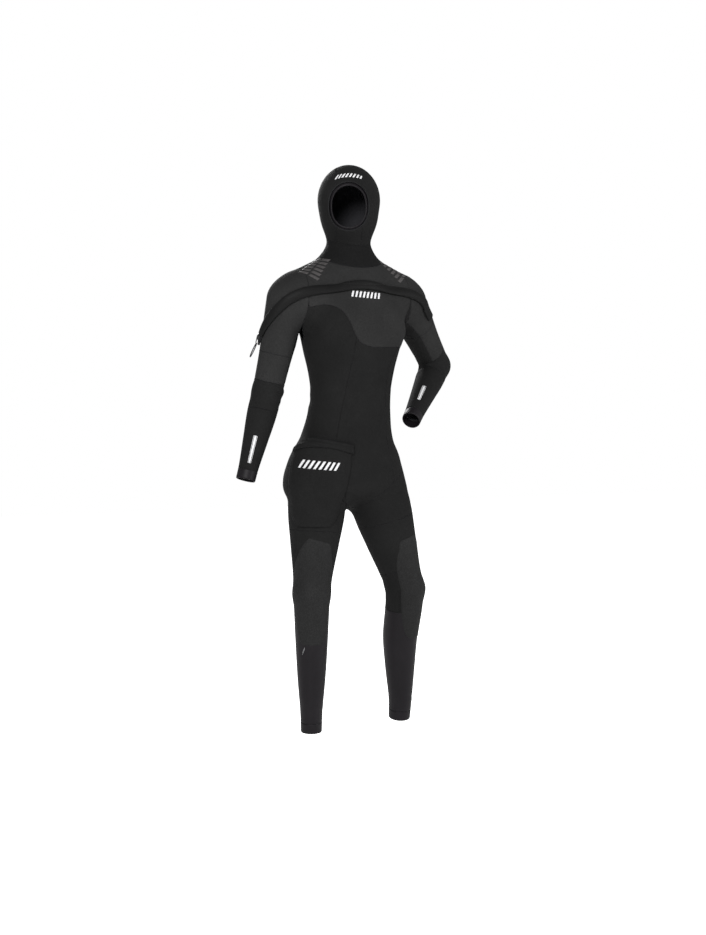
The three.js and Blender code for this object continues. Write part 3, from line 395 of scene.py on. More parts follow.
# %% From grids to meshes
def mesh_object(name, verts_mm, faces, mats, face_mat=None):
    m = bpy.data.meshes.new(name)
    m.from_pydata((np.asarray(verts_mm) / 1000).tolist(), [], faces)
    for mat in mats:
        m.materials.append(mat)
    if face_mat is not None:
        m.polygons.foreach_set("material_index", np.asarray(face_mat, np.int32))
    m.polygons.foreach_set("use_smooth", np.ones(len(m.polygons), bool))
    m.update()
    o = bpy.data.objects.new(name, m)
    bpy.context.scene.collection.objects.link(o)
    return o


def sheet_faces(nc, nr, closed, pole):
    """Quads of an outer grid, an inner grid and the cut edges between them: lists of outer, inner, edge."""
    def index(i, j, layer):
        return layer * nc * nr + (0 if pole and j == 0 else (i % nc) * nr + j)

    outer, inner, edge = [], [], []

    def add(kind, *ids):
        ids = [v for k, v in enumerate(ids) if v != ids[k - 1]]
        if len(ids) > 2:
            kind.append(ids)

    for i in range(nc if closed else nc - 1):
        for j in range(nr - 1):
            add(outer, index(i, j, 0), index(i, j + 1, 0), index(i + 1, j + 1, 0), index(i + 1, j, 0))
            add(inner, index(i, j, 1), index(i + 1, j, 1), index(i + 1, j + 1, 1), index(i, j + 1, 1))
        if not pole:
            add(edge, index(i, 0, 0), index(i + 1, 0, 0), index(i + 1, 0, 1), index(i, 0, 1))
        add(edge, index(i, nr - 1, 0), index(i, nr - 1, 1), index(i + 1, nr - 1, 1), index(i + 1, nr - 1, 0))
    if not closed:
        for j in range(nr - 1):
            add(edge, index(0, j, 0), index(0, j, 1), index(0, j + 1, 1), index(0, j + 1, 0))
            add(edge, index(nc - 1, j, 0), index(nc - 1, j + 1, 0), index(nc - 1, j + 1, 1), index(nc - 1, j, 1))
    return outer, inner, edge


def sheet_object(name, outer, inner, mats, closed=False, pole=False):
    """A closed sheet from two grids, its faces turned outwards."""
    nc, nr = outer.shape[:2]
    fo, fi, fe = sheet_faces(nc, nr, closed, pole)
    verts = np.concatenate([outer.reshape(-1, 3), inner.reshape(-1, 3)])
    faces = fo + fi + fe
    tri = A([[f[0], f[k], f[k + 1]] for f in faces for k in range(1, len(f) - 1)])
    a, b, c = verts[tri[:, 0]], verts[tri[:, 1]], verts[tri[:, 2]]
    if np.einsum("ij,ij->i", a, np.cross(b, c)).sum() < 0:
        faces = [f[::-1] for f in faces]
    if pole:
        used = np.unique(np.concatenate([np.asarray(f) for f in faces]))
        new = np.full(len(verts), -1)
        new[used] = np.arange(len(used))
        faces = [[int(new[v]) for v in f] for f in faces]
        verts = verts[used]
    face_mat = [0] * len(fo) + [1] * len(fi) + [2] * len(fe)
    return mesh_object(name, verts, faces, mats, face_mat)


PANELS = {}


def panel(name, ray, cols, seed, top, bottom, s_top, s_bottom, rows, mats, thick=SUIT_THICK, closed=False, pole=False, lift=0.0, strip=()):
    p, n, edge = panel_grid(ray, cols, seed, top, bottom, s_top, s_bottom, rows, closed, pole)
    roll = 0.9 * np.exp(-((edge / 1.5) ** 2))
    for side in strip:
        roll = np.maximum(roll, 0.8 * np.exp(-((cols - side) ** 2))[:, None])
    bend = creases(p.reshape(-1, 3)).reshape(edge.shape) * smooth(2, 16, edge)
    bend = np.minimum(bend, 1.6)
    outer = p + n * (lift - roll + bend)[..., None]
    inner = p + n * (lift - thick + bend)[..., None]
    o = sheet_object(name, outer, inner, mats, closed, pole)
    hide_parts(name)
    PANELS[name] = {"object": o, "outer": outer, "normal": n, "closed": closed, "pole": pole, "strip": []}
    # the strip's faces get black jersey: painted shade along the shadowed inner side of the sleeve
    if strip:
        o.data.materials.append(JERSEY)
        faces = outer.shape[1] - 1
        first, last = np.searchsorted(cols, strip[0]), np.searchsorted(cols, strip[1])
        for k in range(first * faces, last * faces):
            o.data.polygons[k].material_index = 3
        PANELS[name]["strip"] = [first, last]
    return o


# %% [markdown]
# ## Cloth and rubber
# Jersey is a fine knit bonded to the rubber, so it shows as tiny loops with a soft sheen. Photographs of
# cloth would tile and blur up close. Noise and cell patterns in the object's own millimetres hold at any
# distance. The shared effects are node groups: one for the knit, one for flecks, one for wear.
# %% Node helpers
def group(name, ins, outs):
    tree = bpy.data.node_groups.new(name, "ShaderNodeTree")
    for label, kind, value in ins:
        socket = tree.interface.new_socket(label, in_out="INPUT", socket_type=kind)
        if value is not None:
            socket.default_value = value
    for label, kind in outs:
        tree.interface.new_socket(label, in_out="OUTPUT", socket_type=kind)
    return tree, tree.nodes.new("NodeGroupInput"), tree.nodes.new("NodeGroupOutput")


def tex(tree, kind, vector, scale, **values):
    node = tree.nodes.new(kind)
    tree.links.new(vector, node.inputs["Vector"])
    node.inputs["Scale"].default_value = scale
    for label, value in values.items():
        node.inputs[label].default_value = value
    return node


def calc(tree, kind, a, b):
    node = tree.nodes.new("ShaderNodeMath")
    node.operation = kind
    for socket, value in zip(node.inputs, (a, b)):
        if isinstance(value, (int, float)):
            socket.default_value = value
        else:
            tree.links.new(value, socket)
    return node.outputs[0]


def remap(tree, value, low, high, out_low, out_high):
    node = tree.nodes.new("ShaderNodeMapRange")
    tree.links.new(value, node.inputs["Value"])
    for label, v in (("From Min", low), ("From Max", high), ("To Min", out_low), ("To Max", out_high)):
        node.inputs[label].default_value = v
    return node.outputs["Result"]


def stretch(tree, vector, scale, turn=(0, 0, 0)):
    node = tree.nodes.new("ShaderNodeMapping")
    tree.links.new(vector, node.inputs["Vector"])
    node.inputs["Scale"].default_value = scale
    node.inputs["Rotation"].default_value = turn
    return node.outputs[0]


# %% Shared effects
KNIT, gi, go = group("Knit loops", [("Vector", "NodeSocketVector", None)], [("Height", "NodeSocketFloat")])
loops = tex(KNIT, "ShaderNodeTexVoronoi", stretch(KNIT, gi.outputs[0], (1, 1, 0.7)), 950.0)
fuzz = tex(KNIT, "ShaderNodeTexNoise", gi.outputs[0], 2400.0, Detail=2.0)
height = calc(KNIT, "SUBTRACT", 1.0, loops.outputs["Distance"])
KNIT.links.new(calc(KNIT, "ADD", height, calc(KNIT, "MULTIPLY", fuzz.outputs[0], 0.5)), go.inputs[0])

FLECK, gi, go = group("Heather flecks", [("Vector", "NodeSocketVector", None)], [("Amount", "NodeSocketFloat")])
long = tex(FLECK, "ShaderNodeTexNoise", stretch(FLECK, gi.outputs[0], (1, 1, 0.4), (0.2, 0.35, 0)), 620.0, Detail=3.0)
fine = tex(FLECK, "ShaderNodeTexNoise", gi.outputs[0], 1300.0, Detail=2.0)
both = calc(FLECK, "ADD", calc(FLECK, "MULTIPLY", long.outputs[0], 0.7), calc(FLECK, "MULTIPLY", fine.outputs[0], 0.3))
FLECK.links.new(remap(FLECK, both, 0.34, 0.66, 0.0, 1.0), go.inputs[0])

WEAR, gi, go = group("Wear", [("Vector", "NodeSocketVector", None)], [("Tone", "NodeSocketFloat"), ("Rub", "NodeSocketFloat")])
cloud = tex(WEAR, "ShaderNodeTexNoise", gi.outputs[0], 9.0, Detail=4.0)
rub = tex(WEAR, "ShaderNodeTexNoise", gi.outputs[0], 55.0, Detail=5.0, Roughness=0.7)
WEAR.links.new(remap(WEAR, cloud.outputs[0], 0.3, 0.7, 0.86, 1.14), go.inputs[0])
WEAR.links.new(remap(WEAR, rub.outputs[0], 0.45, 0.8, 0.0, 1.0), go.inputs[1])


# %% The material maker
def finish(name, colour, rough, light=None, knit=0.0, pattern=None, sheen=0.0, coat=0.0, specular=0.1):
    """colour and light are the two ends of the fleck, knit is the depth of the loops in millimetres."""
    mat = bpy.data.materials.new(name)
    mat.use_nodes = True
    tree = mat.node_tree
    tree.nodes.clear()
    out = tree.nodes.new("ShaderNodeOutputMaterial")
    bsdf = tree.nodes.new("ShaderNodeBsdfPrincipled")
    tree.links.new(bsdf.outputs[0], out.inputs[0])
    bsdf.inputs["Sheen Weight"].default_value = sheen
    bsdf.inputs["Sheen Roughness"].default_value = 0.45
    bsdf.inputs["Coat Weight"].default_value = coat
    bsdf.inputs["Specular IOR Level"].default_value = specular
    bsdf.inputs["Sheen Tint"].default_value = (0.6, 0.6, 0.62, 1)
    at = tree.nodes.new("ShaderNodeTexCoord").outputs["Object"]
    wear = tree.nodes.new("ShaderNodeGroup")
    wear.node_tree = WEAR
    tree.links.new(at, wear.inputs[0])
    mix = tree.nodes.new("ShaderNodeMix")
    mix.data_type = "RGBA"
    mix.inputs["A"].default_value = (*colour, 1)
    mix.inputs["B"].default_value = (*(light or [c * 1.25 for c in colour]), 1)
    fleck = tree.nodes.new("ShaderNodeGroup")
    fleck.node_tree = FLECK
    tree.links.new(at, fleck.inputs[0])
    amount = fleck.outputs[0] if pattern is None else pattern(tree, at)
    tree.links.new(amount, mix.inputs["Factor"])
    tone = tree.nodes.new("ShaderNodeVectorMath")
    tone.operation = "SCALE"
    tree.links.new(mix.outputs["Result"], tone.inputs[0])
    tree.links.new(wear.outputs["Tone"], tone.inputs["Scale"])
    tree.links.new(tone.outputs[0], bsdf.inputs["Base Color"])
    tree.links.new(remap(tree, wear.outputs["Rub"], 0, 1, rough, max(rough - 0.12, 0.2)), bsdf.inputs["Roughness"])
    bump = tree.nodes.new("ShaderNodeBump")
    bump.inputs["Strength"].default_value = 0.6
    bump.inputs["Distance"].default_value = max(knit, 0.05) / 1000
    if pattern is None:
        loop = tree.nodes.new("ShaderNodeGroup")
        loop.node_tree = KNIT
        tree.links.new(at, loop.inputs[0])
        tree.links.new(loop.outputs[0], bump.inputs["Height"])
    else:
        tree.links.new(amount, bump.inputs["Height"])
    tree.links.new(bump.outputs[0], bsdf.inputs["Normal"])
    return mat


# %% Patterns that are more than knit
def pad_pattern(tree, at):
    """Rows of small raised rubber dashes printed on the knee cloth."""
    brick = tex(tree, "ShaderNodeTexVoronoi", stretch(tree, at, (1, 1, 0.5), (0, 0.5, 0)), 420.0, Randomness=0.85)
    return remap(tree, brick.outputs["Distance"], 0.2, 0.6, 1.0, 0.0)


def skin_pattern(tree, at):
    """The faint pebble of rubber that was cast against a plate."""
    pebble = tex(tree, "ShaderNodeTexVoronoi", at, 1500.0)
    noise = tex(tree, "ShaderNodeTexNoise", at, 30.0, Detail=6.0)
    return calc(tree, "ADD", calc(tree, "MULTIPLY", pebble.outputs["Distance"], 0.4), calc(tree, "MULTIPLY", noise.outputs[0], 0.6))


def weave_pattern(tree, at):
    """A narrow woven tape: over and under threads."""
    weave = tex(tree, "ShaderNodeTexChecker", stretch(tree, at, (1, 1, 1), (0.3, 0.2, 0.7)), 1100.0)
    return weave.outputs["Fac"]


def foam_pattern(tree, at):
    """The open cells on the cut edge of a neoprene sheet."""
    cells = tex(tree, "ShaderNodeTexVoronoi", at, 2600.0)
    return remap(tree, cells.outputs["Distance"], 0.1, 0.6, 0.0, 1.0)


JERSEY = finish("Black jersey", (0.0068, 0.0068, 0.0068), 0.86, (0.0108, 0.0108, 0.0108), knit=0.25, sheen=0.008)
HEATHER = finish("Heathered jersey", (0.0125, 0.0125, 0.0125), 0.9, (0.0245, 0.0245, 0.0245), knit=0.3, sheen=0.01)
COLLAR_KNIT = finish("Collar rib", (0.0045, 0.0045, 0.0046), 0.85, (0.0078, 0.0078, 0.0079), knit=0.4, sheen=0.005)
SKIN = finish("Smooth skin rubber", (0.0062, 0.0052, 0.0064), 0.52, (0.0098, 0.0084, 0.0102), knit=0.08, pattern=skin_pattern, specular=0.15)
PAD = finish("Knee cloth", (0.0095, 0.0095, 0.0096), 0.7, (0.0165, 0.0165, 0.0167), knit=0.3, pattern=pad_pattern, specular=0.15)
FLAP = finish("Soft rubber", (0.0048, 0.0048, 0.0048), 0.6, (0.0078, 0.0078, 0.0078), knit=0.12, pattern=skin_pattern, specular=0.1)
TAPE = finish("Woven tape", (0.009, 0.009, 0.01), 0.8, (0.018, 0.018, 0.019), knit=0.2, pattern=weave_pattern, sheen=0.01)
PLASTIC = finish("Moulded plastic", (0.008, 0.008, 0.0085), 0.4, (0.011, 0.011, 0.0115), knit=0.05, pattern=skin_pattern, specular=0.5)
LINING = finish("Plush lining", (0.016, 0.016, 0.018), 0.95, (0.028, 0.028, 0.031), knit=0.6, sheen=0.04)
FOAM = finish("Cut neoprene", (0.012, 0.012, 0.013), 0.9, (0.022, 0.022, 0.023), knit=0.3, pattern=foam_pattern)
THREAD = finish("Thread", (0.012, 0.012, 0.013), 0.7, (0.022, 0.022, 0.024), knit=0.05, pattern=weave_pattern, sheen=0.02)
PRINT = finish("Light print", (0.6, 0.6, 0.61), 0.5, (0.72, 0.72, 0.73), knit=0.05, pattern=skin_pattern)
GREY_PRINT = finish("Grey print", (0.2, 0.2, 0.205), 0.5, (0.27, 0.27, 0.275), knit=0.05, pattern=skin_pattern)
GRIP = finish("Shoulder print", (0.045, 0.042, 0.042), 0.5, (0.07, 0.066, 0.066), knit=0.08, pattern=skin_pattern)
OUT_IN = [JERSEY, LINING, FOAM]
print(len(bpy.data.materials), "materials")

# %% [markdown]
# ## The trunk
# The black front, side and back panels are long and narrow, so they can curve over chest, waist and
# seat without darts. The grey chest panel ends in an arch that dives from the right breast to the ribs.
# Rays from a standing axis reach all of these faces, so one ray family cuts them all.
# %% Cuts of the trunk
ARMHOLE_N = {"R": unit([-1, 0, 0.06]), "L": unit([1, 0, 0.06])}
ARMHOLE = {"R": plane([-168, 0, 1320], [-1, 0, 0.06]), "L": plane([168, 0, 1320], [1, 0, 0.06])}
ZIP_AT, ZIP_N = A([0, -88, 1384.0]), A([0, -1.15, -1])
BACK_AT, BACK_N = A([0, 100, 1292.0]), A([0, 0.1, -1])
COLLAR_AT, COLLAR_N = A([0, 16, 1461.0]), A([0, -0.42, 1])
HOOD_AT, HOOD_N = A([0, -60, 1488.0]), A([0, 0.3, -1])
CROTCH_Y, CROTCH_Z = 24, 728
GROIN_AT = {"R": A([HIP_SHIFT - 17, CROTCH_Y, CROTCH_Z]), "L": A([HIP_SHIFT + 17, CROTCH_Y, CROTCH_Z])}
GROIN_N = {"R": unit([-0.62, 0, -0.78]), "L": unit([0.62, 0, -0.78])}
GROIN = {s: plane(GROIN_AT[s], GROIN_N[s]) for s in "RL"}
GUSSET_TILT = math.radians(34)
GUSSET_EYE = A([HIP_SHIFT, CROTCH_Y, 800.0])
GUSSET_FRONT = plane(GUSSET_EYE, [0, math.cos(GUSSET_TILT), -math.sin(GUSSET_TILT)])
GUSSET_BACK = plane(GUSSET_EYE, [0, -math.cos(GUSSET_TILT), -math.sin(GUSSET_TILT)])
# the arch: angle round the trunk, height of the seam
ARCH = [[-90, 1262], [-82, 1278], [-74, 1298], [-64, 1310], [-54, 1316], [-44, 1312], [-36, 1302], [-31, 1290]]
ARCH += [[-26, 1270], [-20, 1236], [-15, 1216], [-10, 1206], [0, 1199], [12, 1195], [48, 1197], [56, 1202]]
ARCH += [[64, 1213], [72, 1238], [90, 1300]]
CHEST_HALF = 67


def round_angle(q):
    return np.degrees(np.arctan2(q[:, 0] + 6, 8 - q[:, 1]))


def arch(q):
    return q[:, 2] - curve(ARCH, round_angle(q))[:, 0]


def over_arch(q):
    inside = np.abs(round_angle(q)) < CHEST_HALF + 0.1
    return np.where(inside, arch(q) + SEAM_GAP / 2, -50.0)


# the right princess seam leans in over the ribs: height, angle
PRINCESS = [[900, -46], [1000, -39], [1095, -28], [1150, -22], [1205, -18], [1400, -18]]


def barrel(c, s):
    a = np.radians(c)
    d = np.stack([np.sin(a), -np.cos(a), 0 * a], -1)
    z = 1400 - 560 * np.minimum(s, 0.8) / 0.8
    t = np.maximum((s - 0.8) / 0.2, 0) * math.pi / 2
    o = np.stack([0 * a - 6, 0 * a + 8, z], -1)
    return o, np.stack([d[:, 0] * np.cos(t), d[:, 1] * np.cos(t), -np.sin(t)], -1)


def princess(c, s):
    z = 1400 - 560 * np.minimum(s, 0.8) / 0.8
    seam = curve(PRINCESS, z)[:, 0]
    front = np.where(c > -46, 46 + (c - 46) * (46 - seam) / 92, seam + (c + 46) * (128 + seam) / 82)
    return barrel(np.where(c < 46, front, c), s)


# %% Cutting the trunk
above = either(flip(ZIP_AT, ZIP_N), flip(BACK_AT, BACK_N))
G = 0.1
panel("chest_panel", barrel, graded(-CHEST_HALF, CHEST_HALF, 44, 125), lambda c: (1394 - curve(ARCH, c)[:, 0] - 6) * 0.8 / 560,
      [flip(ZIP_AT, ZIP_N), ARMHOLE["R"], ARMHOLE["L"]], [lambda q: -arch(q) + SEAM_GAP / 2], 0, 1, 26, [HEATHER, LINING, FOAM])
panel("front_body_panel", princess, graded(-46 + G, 46 - G, 34, 115), 0.5, [over_arch],
      [GROIN["R"], GROIN["L"], GUSSET_FRONT], 0, 1, 70, OUT_IN)
panel("right_side_panel", princess, graded(-128 + G, -46 - G, 30, 130), 0.5, [over_arch, ARMHOLE["R"], above], [GROIN["R"]], 0, 1, 70, OUT_IN)
panel("left_side_panel", princess, graded(46 + G, 128 - G, 30, 130), 0.5, [over_arch, ARMHOLE["L"], above], [GROIN["L"]], 0, 1, 70, OUT_IN)
panel("right_back_panel", barrel, graded(180 + G, 232 - G, 20, 120), 0.5, [flip(BACK_AT, BACK_N), ARMHOLE["R"]],
      [GROIN["R"], GROIN["L"], GUSSET_BACK], 0, 1, 70, OUT_IN)
panel("left_back_panel", barrel, graded(128 + G, 180 - G, 20, 120), 0.5, [flip(BACK_AT, BACK_N), ARMHOLE["L"]],
      [GROIN["L"], GROIN["R"], GUSSET_BACK], 0, 1, 70, OUT_IN)


# %% [markdown]
# ## Gusset and yoke
# The gusset is the small saddle between the legs, where four seams would otherwise meet in one sore
# point. The yoke covers the shoulders in grey and stops at the zip in front. Both need their own rays,
# because the standing axis of the trunk looks along their faces.
# %% Gusset and yoke
def under(c, s):
    a = np.radians(c)
    return np.broadcast_to(GUSSET_EYE, (len(a), 3)), unit(np.stack([s, np.sin(a), -np.cos(a)], -1))


tilt = math.degrees(GUSSET_TILT) - 0.6
panel("crotch_gusset", under, graded(-tilt, tilt, 14, 74), 0, [GROIN["R"]], [GROIN["L"]], -1.2, 1.2, 8, OUT_IN)


def yoke(c, s):
    a, e = np.radians(c), np.radians(82 - 130 * s)
    o = np.broadcast_to(A([0, 12, 1300.0]), (len(a), 3))
    return o, np.stack([np.sin(a) * np.cos(e), -np.cos(a) * np.cos(e), np.sin(e)], -1)


YOKE_FOOT = [plane(ZIP_AT, ZIP_N), ARMHOLE["R"], ARMHOLE["L"], plane(BACK_AT, BACK_N)]
for name, c0, c1 in (("front_yoke", -90, 90), ("back_yoke", 90, 270)):
    panel(name, yoke, graded(c0 + G, c1 - G, 64, 120), 0.28, [plane(COLLAR_AT, COLLAR_N)], YOKE_FOOT, 0, 1, 26, [HEATHER, LINING, FOAM])


# %% [markdown]
# ## Collar and hood
# The hood is sewn on for good, so it turns with the head and twists the collar under it. It is two side
# shells, a crown strip and a chin piece round a face opening with a thin rubber lip. The side shells are
# discs about the ears, because a shell cut from one pole has no pinched corner.
# %% Neck collar
def throat(c, s):
    n = unit(unit(COLLAR_N) + (A([0, -0.29, 1.0]) - unit(COLLAR_N)) * s[:, None])
    o = A([0, 12, 1459.0]) + A([-3, -4, 49.0]) * s[:, None]
    u = unit(A([0, -1.0, 0]) - n * (n @ A([0, -1.0, 0]))[:, None])
    v = np.cross(n, u)
    a = np.radians(c)[:, None]
    return o, u * np.cos(a) + v * np.sin(a)


panel("neck_collar", throat, np.arange(0, 360, 4.0), 0.5, [flip(COLLAR_AT, COLLAR_N)], [flip(HOOD_AT, HOOD_N)],
      -0.6, 1.6, 12, [COLLAR_KNIT, LINING, FOAM], HOOD_THICK, closed=True)

# %% Hood
HX = A([math.cos(HEAD_YAW), math.sin(HEAD_YAW), 0])
HF = A([math.sin(HEAD_YAW), -math.cos(HEAD_YAW), 0])
HU = A([0, 0, 1.0])
EYE = A([-6, 2, HOOD_TOP_Z - 113])
FACE_DROP = -0.17
FACE_W, FACE_H = FACE_WIDTH / 2 / 92, FACE_HEIGHT / 2 / 92
CROWN_HALF = 37


def face_edge(p):
    q = p - EYE
    f = np.maximum(q @ HF, 1e-3)
    k = np.hypot(q @ HX / f / FACE_W, (q @ HU / f - FACE_DROP) / FACE_H)
    return np.where(q @ HF <= 5, -99.0, (1.005 - k) * 60)


def hood_side(sgn):
    def ray(c, s):
        a, w = np.radians(c)[:, None], np.radians(100 * s)[:, None]
        r = HU * np.cos(a) + HF * np.sin(a)
        return np.broadcast_to(EYE, (len(c), 3)), HX * sgn * np.cos(w) + r * np.sin(w)

    return ray


def crown(c, s):
    a = (s * 2 * math.pi)[:, None]
    return EYE + HX * c[:, None], HF * np.cos(a) + HU * np.sin(a)


HOOD_FOOT = plane(HOOD_AT, HOOD_N)
HOOD_MATS = [JERSEY, LINING, FOAM]
for side, sgn in (("right", -1), ("left", 1)):
    cut = plane(EYE + HX * sgn * CROWN_HALF, HX * -sgn)
    panel(f"hood_{side}_panel", hood_side(sgn), np.arange(0, 360, 3.0), 0.15, [], [cut, face_edge, HOOD_FOOT],
          0, 1, 26, HOOD_MATS, HOOD_THICK, closed=True, pole=True)
half = CROWN_HALF - SEAM_GAP / 2
for name, seed, s1 in (("hood_crown_panel", 0.3, 0.72), ("hood_chin_panel", -0.14, -0.24)):
    columns = np.concatenate([-half + A(ROLL), np.linspace(-half + 8, half - 8, 12), half - A(ROLL)[::-1]])
    panel(name, crown, columns, seed, [face_edge], [HOOD_FOOT], 0, s1, 60 if s1 > 0 else 12, HOOD_MATS, HOOD_THICK)


def face_ring(c, s):
    a = np.radians(c)
    x, z = s * FACE_W * np.cos(a), FACE_DROP + s * FACE_H * np.sin(a)
    return np.broadcast_to(EYE, (len(a), 3)), unit(HF + HX * x[:, None] + HU * z[:, None])


panel("face_seal", face_ring, np.arange(0, 360, 3.0), 0.9, [], [], 1.03, 0.87, 4, [SKIN, SKIN, SKIN], SEAL_THICK,
      closed=True, lift=-HOOD_THICK - 2.2)


# %% [markdown]
# ## Sleeves and legs
# A sleeve is a run of rings. Over a bend the rings fan about a line outside the crook, as the slices of
# a bent pipe do, so no two cross. The knee has a tough cloth in front and jersey behind. A black jersey strip
# is painted shade: it runs under each upper arm, on the inner side where shadow falls, with a seam down both sides.
# %% Rings of a limb
def tube(rings, up):
    knots = A([r[0] for r in rings])
    centre, way = A([r[1] for r in rings]), A([unit(r[2]) for r in rings])
    hinge = A([r[3] if len(r) > 3 else [np.nan] * 3 for r in rings])

    def ray(c, s):
        i = np.clip(np.searchsorted(knots, s) - 1, 0, len(knots) - 2)
        t = np.clip((s - knots[i]) / (knots[i + 1] - knots[i]), 0, 1)[:, None]
        n = unit(way[i] + (way[i + 1] - way[i]) * t)
        o = centre[i] + (centre[i + 1] - centre[i]) * t
        h = hinge[i]
        fan = ~np.isnan(h[:, 0])
        o[fan] -= n[fan] * np.einsum("ij,ij->i", o[fan] - h[fan], n[fan])[:, None]
        u = unit(up - n * (n @ up)[:, None])
        v = np.cross(n, u)
        a = np.radians(c)[:, None]
        return o, u * np.cos(a) + v * np.sin(a)

    return ray


def bend_hinge(at, a, f, reach):
    b = unit(f - a)
    return at - b * reach / (b @ a)


def ring_panel(name, ray, seed, top, bottom, rows, mats, thick=SUIT_THICK, step=5.0, strip=()):
    cols = np.arange(0, 360, step)
    for side in strip:
        cols = np.unique(np.concatenate([cols, side + A([-1.5, -0.7, 0, 0.7, 1.5])]))
    return panel(name, ray, cols, seed, [top], [bottom], 0, 1, rows, mats, thick, closed=True, strip=strip)


# %% Sleeves
ELBOW_REACH, CUFF = 60, 28
SLEEVE_END = {"R": 30, "L": 60}
# angles round each upper sleeve of the black jersey strip, painted shade on the inner side where shadow falls
UNDERARM_PAINTED_SHADE = {"R": (126.0, 226.0), "L": (134.0, 246.0)}
arm_axes = {}
for s, who, sx in (("R", "right", -1), ("L", "left", 1)):
    a, f = unit(ELBOW[s] - SHOULDER[s]), unit(WRIST[s] - ELBOW[s])
    arm_axes[s] = (a, f)
    H = A([sx * 152.0, 30, 1162])
    HE = bend_hinge(ELBOW[s], a, f, ELBOW_REACH)
    top = SHOULDER[s] - a * ((SHOULDER[s] - H) @ a)
    e0, e1 = ELBOW[s] - a * ELBOW_REACH, ELBOW[s] + f * ELBOW_REACH
    rings = [
        [0, [sx * 150, 18, 1330], [sx, 0, 0]],
        [0.1, [sx * 168, 18, 1324], ARMHOLE_N[s], H],
        [0.35, top, a],
        [0.5, e0, a, HE],
        [0.6, ELBOW[s], unit(a + f), HE],
        [0.7, e1, f],
        [1, WRIST[s] + f * 12, f],
    ]
    ray = tube(rings, A([-1, 0, 0.05]) if s == "R" else A([0.6, 0.1, 0.9]))
    grey = [HEATHER, LINING, FOAM]
    cut = ELBOW[s] - a * SLEEVE_END[s]
    wrist = WRIST[s] - f * CUFF
    ring_panel(f"{who}_sleeve_head", ray, 0.2, flip(A([sx * 168, 0, 1320]), ARMHOLE_N[s]), plane(top, a), 34, grey, strip=UNDERARM_PAINTED_SHADE[s])
    ring_panel(f"{who}_upper_sleeve", ray, 0.42, flip(top, a), plane(cut, a), 14, grey, strip=UNDERARM_PAINTED_SHADE[s])
    ring_panel(f"{who}_elbow_panel", ray, 0.6, flip(cut, a), plane(e1, f), 30, OUT_IN)
    ring_panel(f"{who}_forearm", ray, 0.8, flip(e1, f), plane(wrist, f), 30, OUT_IN)
    ring_panel(f"{who}_wrist_seal", ray, 0.96, flip(wrist, f), plane(WRIST[s], f), 5, [SKIN] * 3, SEAL_THICK)

# %% Legs
KNEE_REACH, HEM = 62, 30
leg_axes = {}
for s, who in (("R", "right"), ("L", "left")):
    a, f = unit(KNEE[s] - HIP[s]), unit(ANKLE[s] - KNEE[s])
    leg_axes[s] = (a, f)
    H = A([HIP_SHIFT + (-4.0 if s == "R" else 24.0), CROTCH_Y, 655])
    HK = bend_hinge(KNEE[s], a, f, KNEE_REACH)
    g = GROIN_N[s]
    top = HIP[s] - a * ((HIP[s] - H) @ a)
    g1 = HIP[s] - g * ((HIP[s] - GROIN_AT[s]) @ g)
    k0, k1 = KNEE[s] - a * KNEE_REACH, KNEE[s] + f * KNEE_REACH
    hem = ANKLE[s] - f * HEM
    rings = [
        [0, g1 - g * 30, g],
        [0.1, g1, g],
        [0.14, g1 - g * ((g1 - H) @ g), g, H],
        [0.3, top, a],
        [0.5, k0, a, HK],
        [0.6, KNEE[s], unit(a + f), HK],
        [0.7, k1, f],
        [1, ANKLE[s] + f * 12, f],
    ]
    ray = tube(rings, LEG_FRONT[s])
    ring_panel(f"{who}_thigh_top", ray, 0.2, flip(GROIN_AT[s], g), plane(top, a), 34, OUT_IN, step=4.0)
    ring_panel(f"{who}_thigh", ray, 0.42, flip(top, a), plane(k0, a), 26, OUT_IN)
    for part, c0, c1 in (("front", -80, 80), ("back", 80, 280)):
        panel(f"{who}_knee_{part}", ray, graded(c0 + 0.2, c1 - 0.2, 26, 57), 0.6, [flip(k0, a)], [plane(k1, f)], 0, 1, 30, OUT_IN)
    ring_panel(f"{who}_shin", ray, 0.85, flip(k1, f), plane(hem, f), 50, [SKIN, LINING, FOAM])
    ring_panel(f"{who}_ankle_seal", ray, 0.97, flip(hem, f), plane(ANKLE[s], f), 5, [SKIN] * 3, SEAL_THICK)
print(len(PANELS), "panels")

# %% [markdown]
# ## What rides on what
# A panel over a joint has one end on each body. Its bend has to be finished at both seams, or they would
# open as the joint moves. The line of each bend is looked for between its two borders and listed with the two bodies;
# the panel is not tied to either body.
# %% Bodies and bends
BODY = {
    "torso": "chest_panel front_body_panel right_side_panel left_side_panel right_back_panel left_back_panel crotch_gusset front_yoke back_yoke",
    "hood": "hood_right_panel hood_left_panel hood_crown_panel hood_chin_panel face_seal",
}
for who in ("right", "left"):
    BODY[f"{who}_upper_arm"] = f"{who}_upper_sleeve"
    BODY[f"{who}_lower_arm"] = f"{who}_forearm {who}_wrist_seal"
    BODY[f"{who}_upper_leg"] = f"{who}_thigh"
    BODY[f"{who}_lower_leg"] = f"{who}_shin {who}_ankle_seal"
RIDE = {}
for body, names in BODY.items():
    for name in names.split():
        RIDE[name] = (body,)


def bend_line(names, toward):
    """The line along which all the first borders come before all the last ones, with the longest way between."""
    first = np.concatenate([PANELS[n]["outer"][:, 0] for n in names])
    last = np.concatenate([PANELS[n]["outer"][:, -1] for n in names])
    best = None
    for k in np.linspace(0, 1, 41):
        d = unit(toward[0] + (toward[1] - toward[0]) * k)
        lo, hi = (first @ d).max() + 1, (last @ d).min() - 1
        if best is None or hi - lo > best[0]:
            mid = first.mean(0)
            best = (hi - lo, mid + d * (lo - mid @ d), mid + d * (hi - mid @ d))
    print("bend of", names[0], "over", round(float(best[0]), 1), "mm")
    return best[1] / 1000, best[2] / 1000


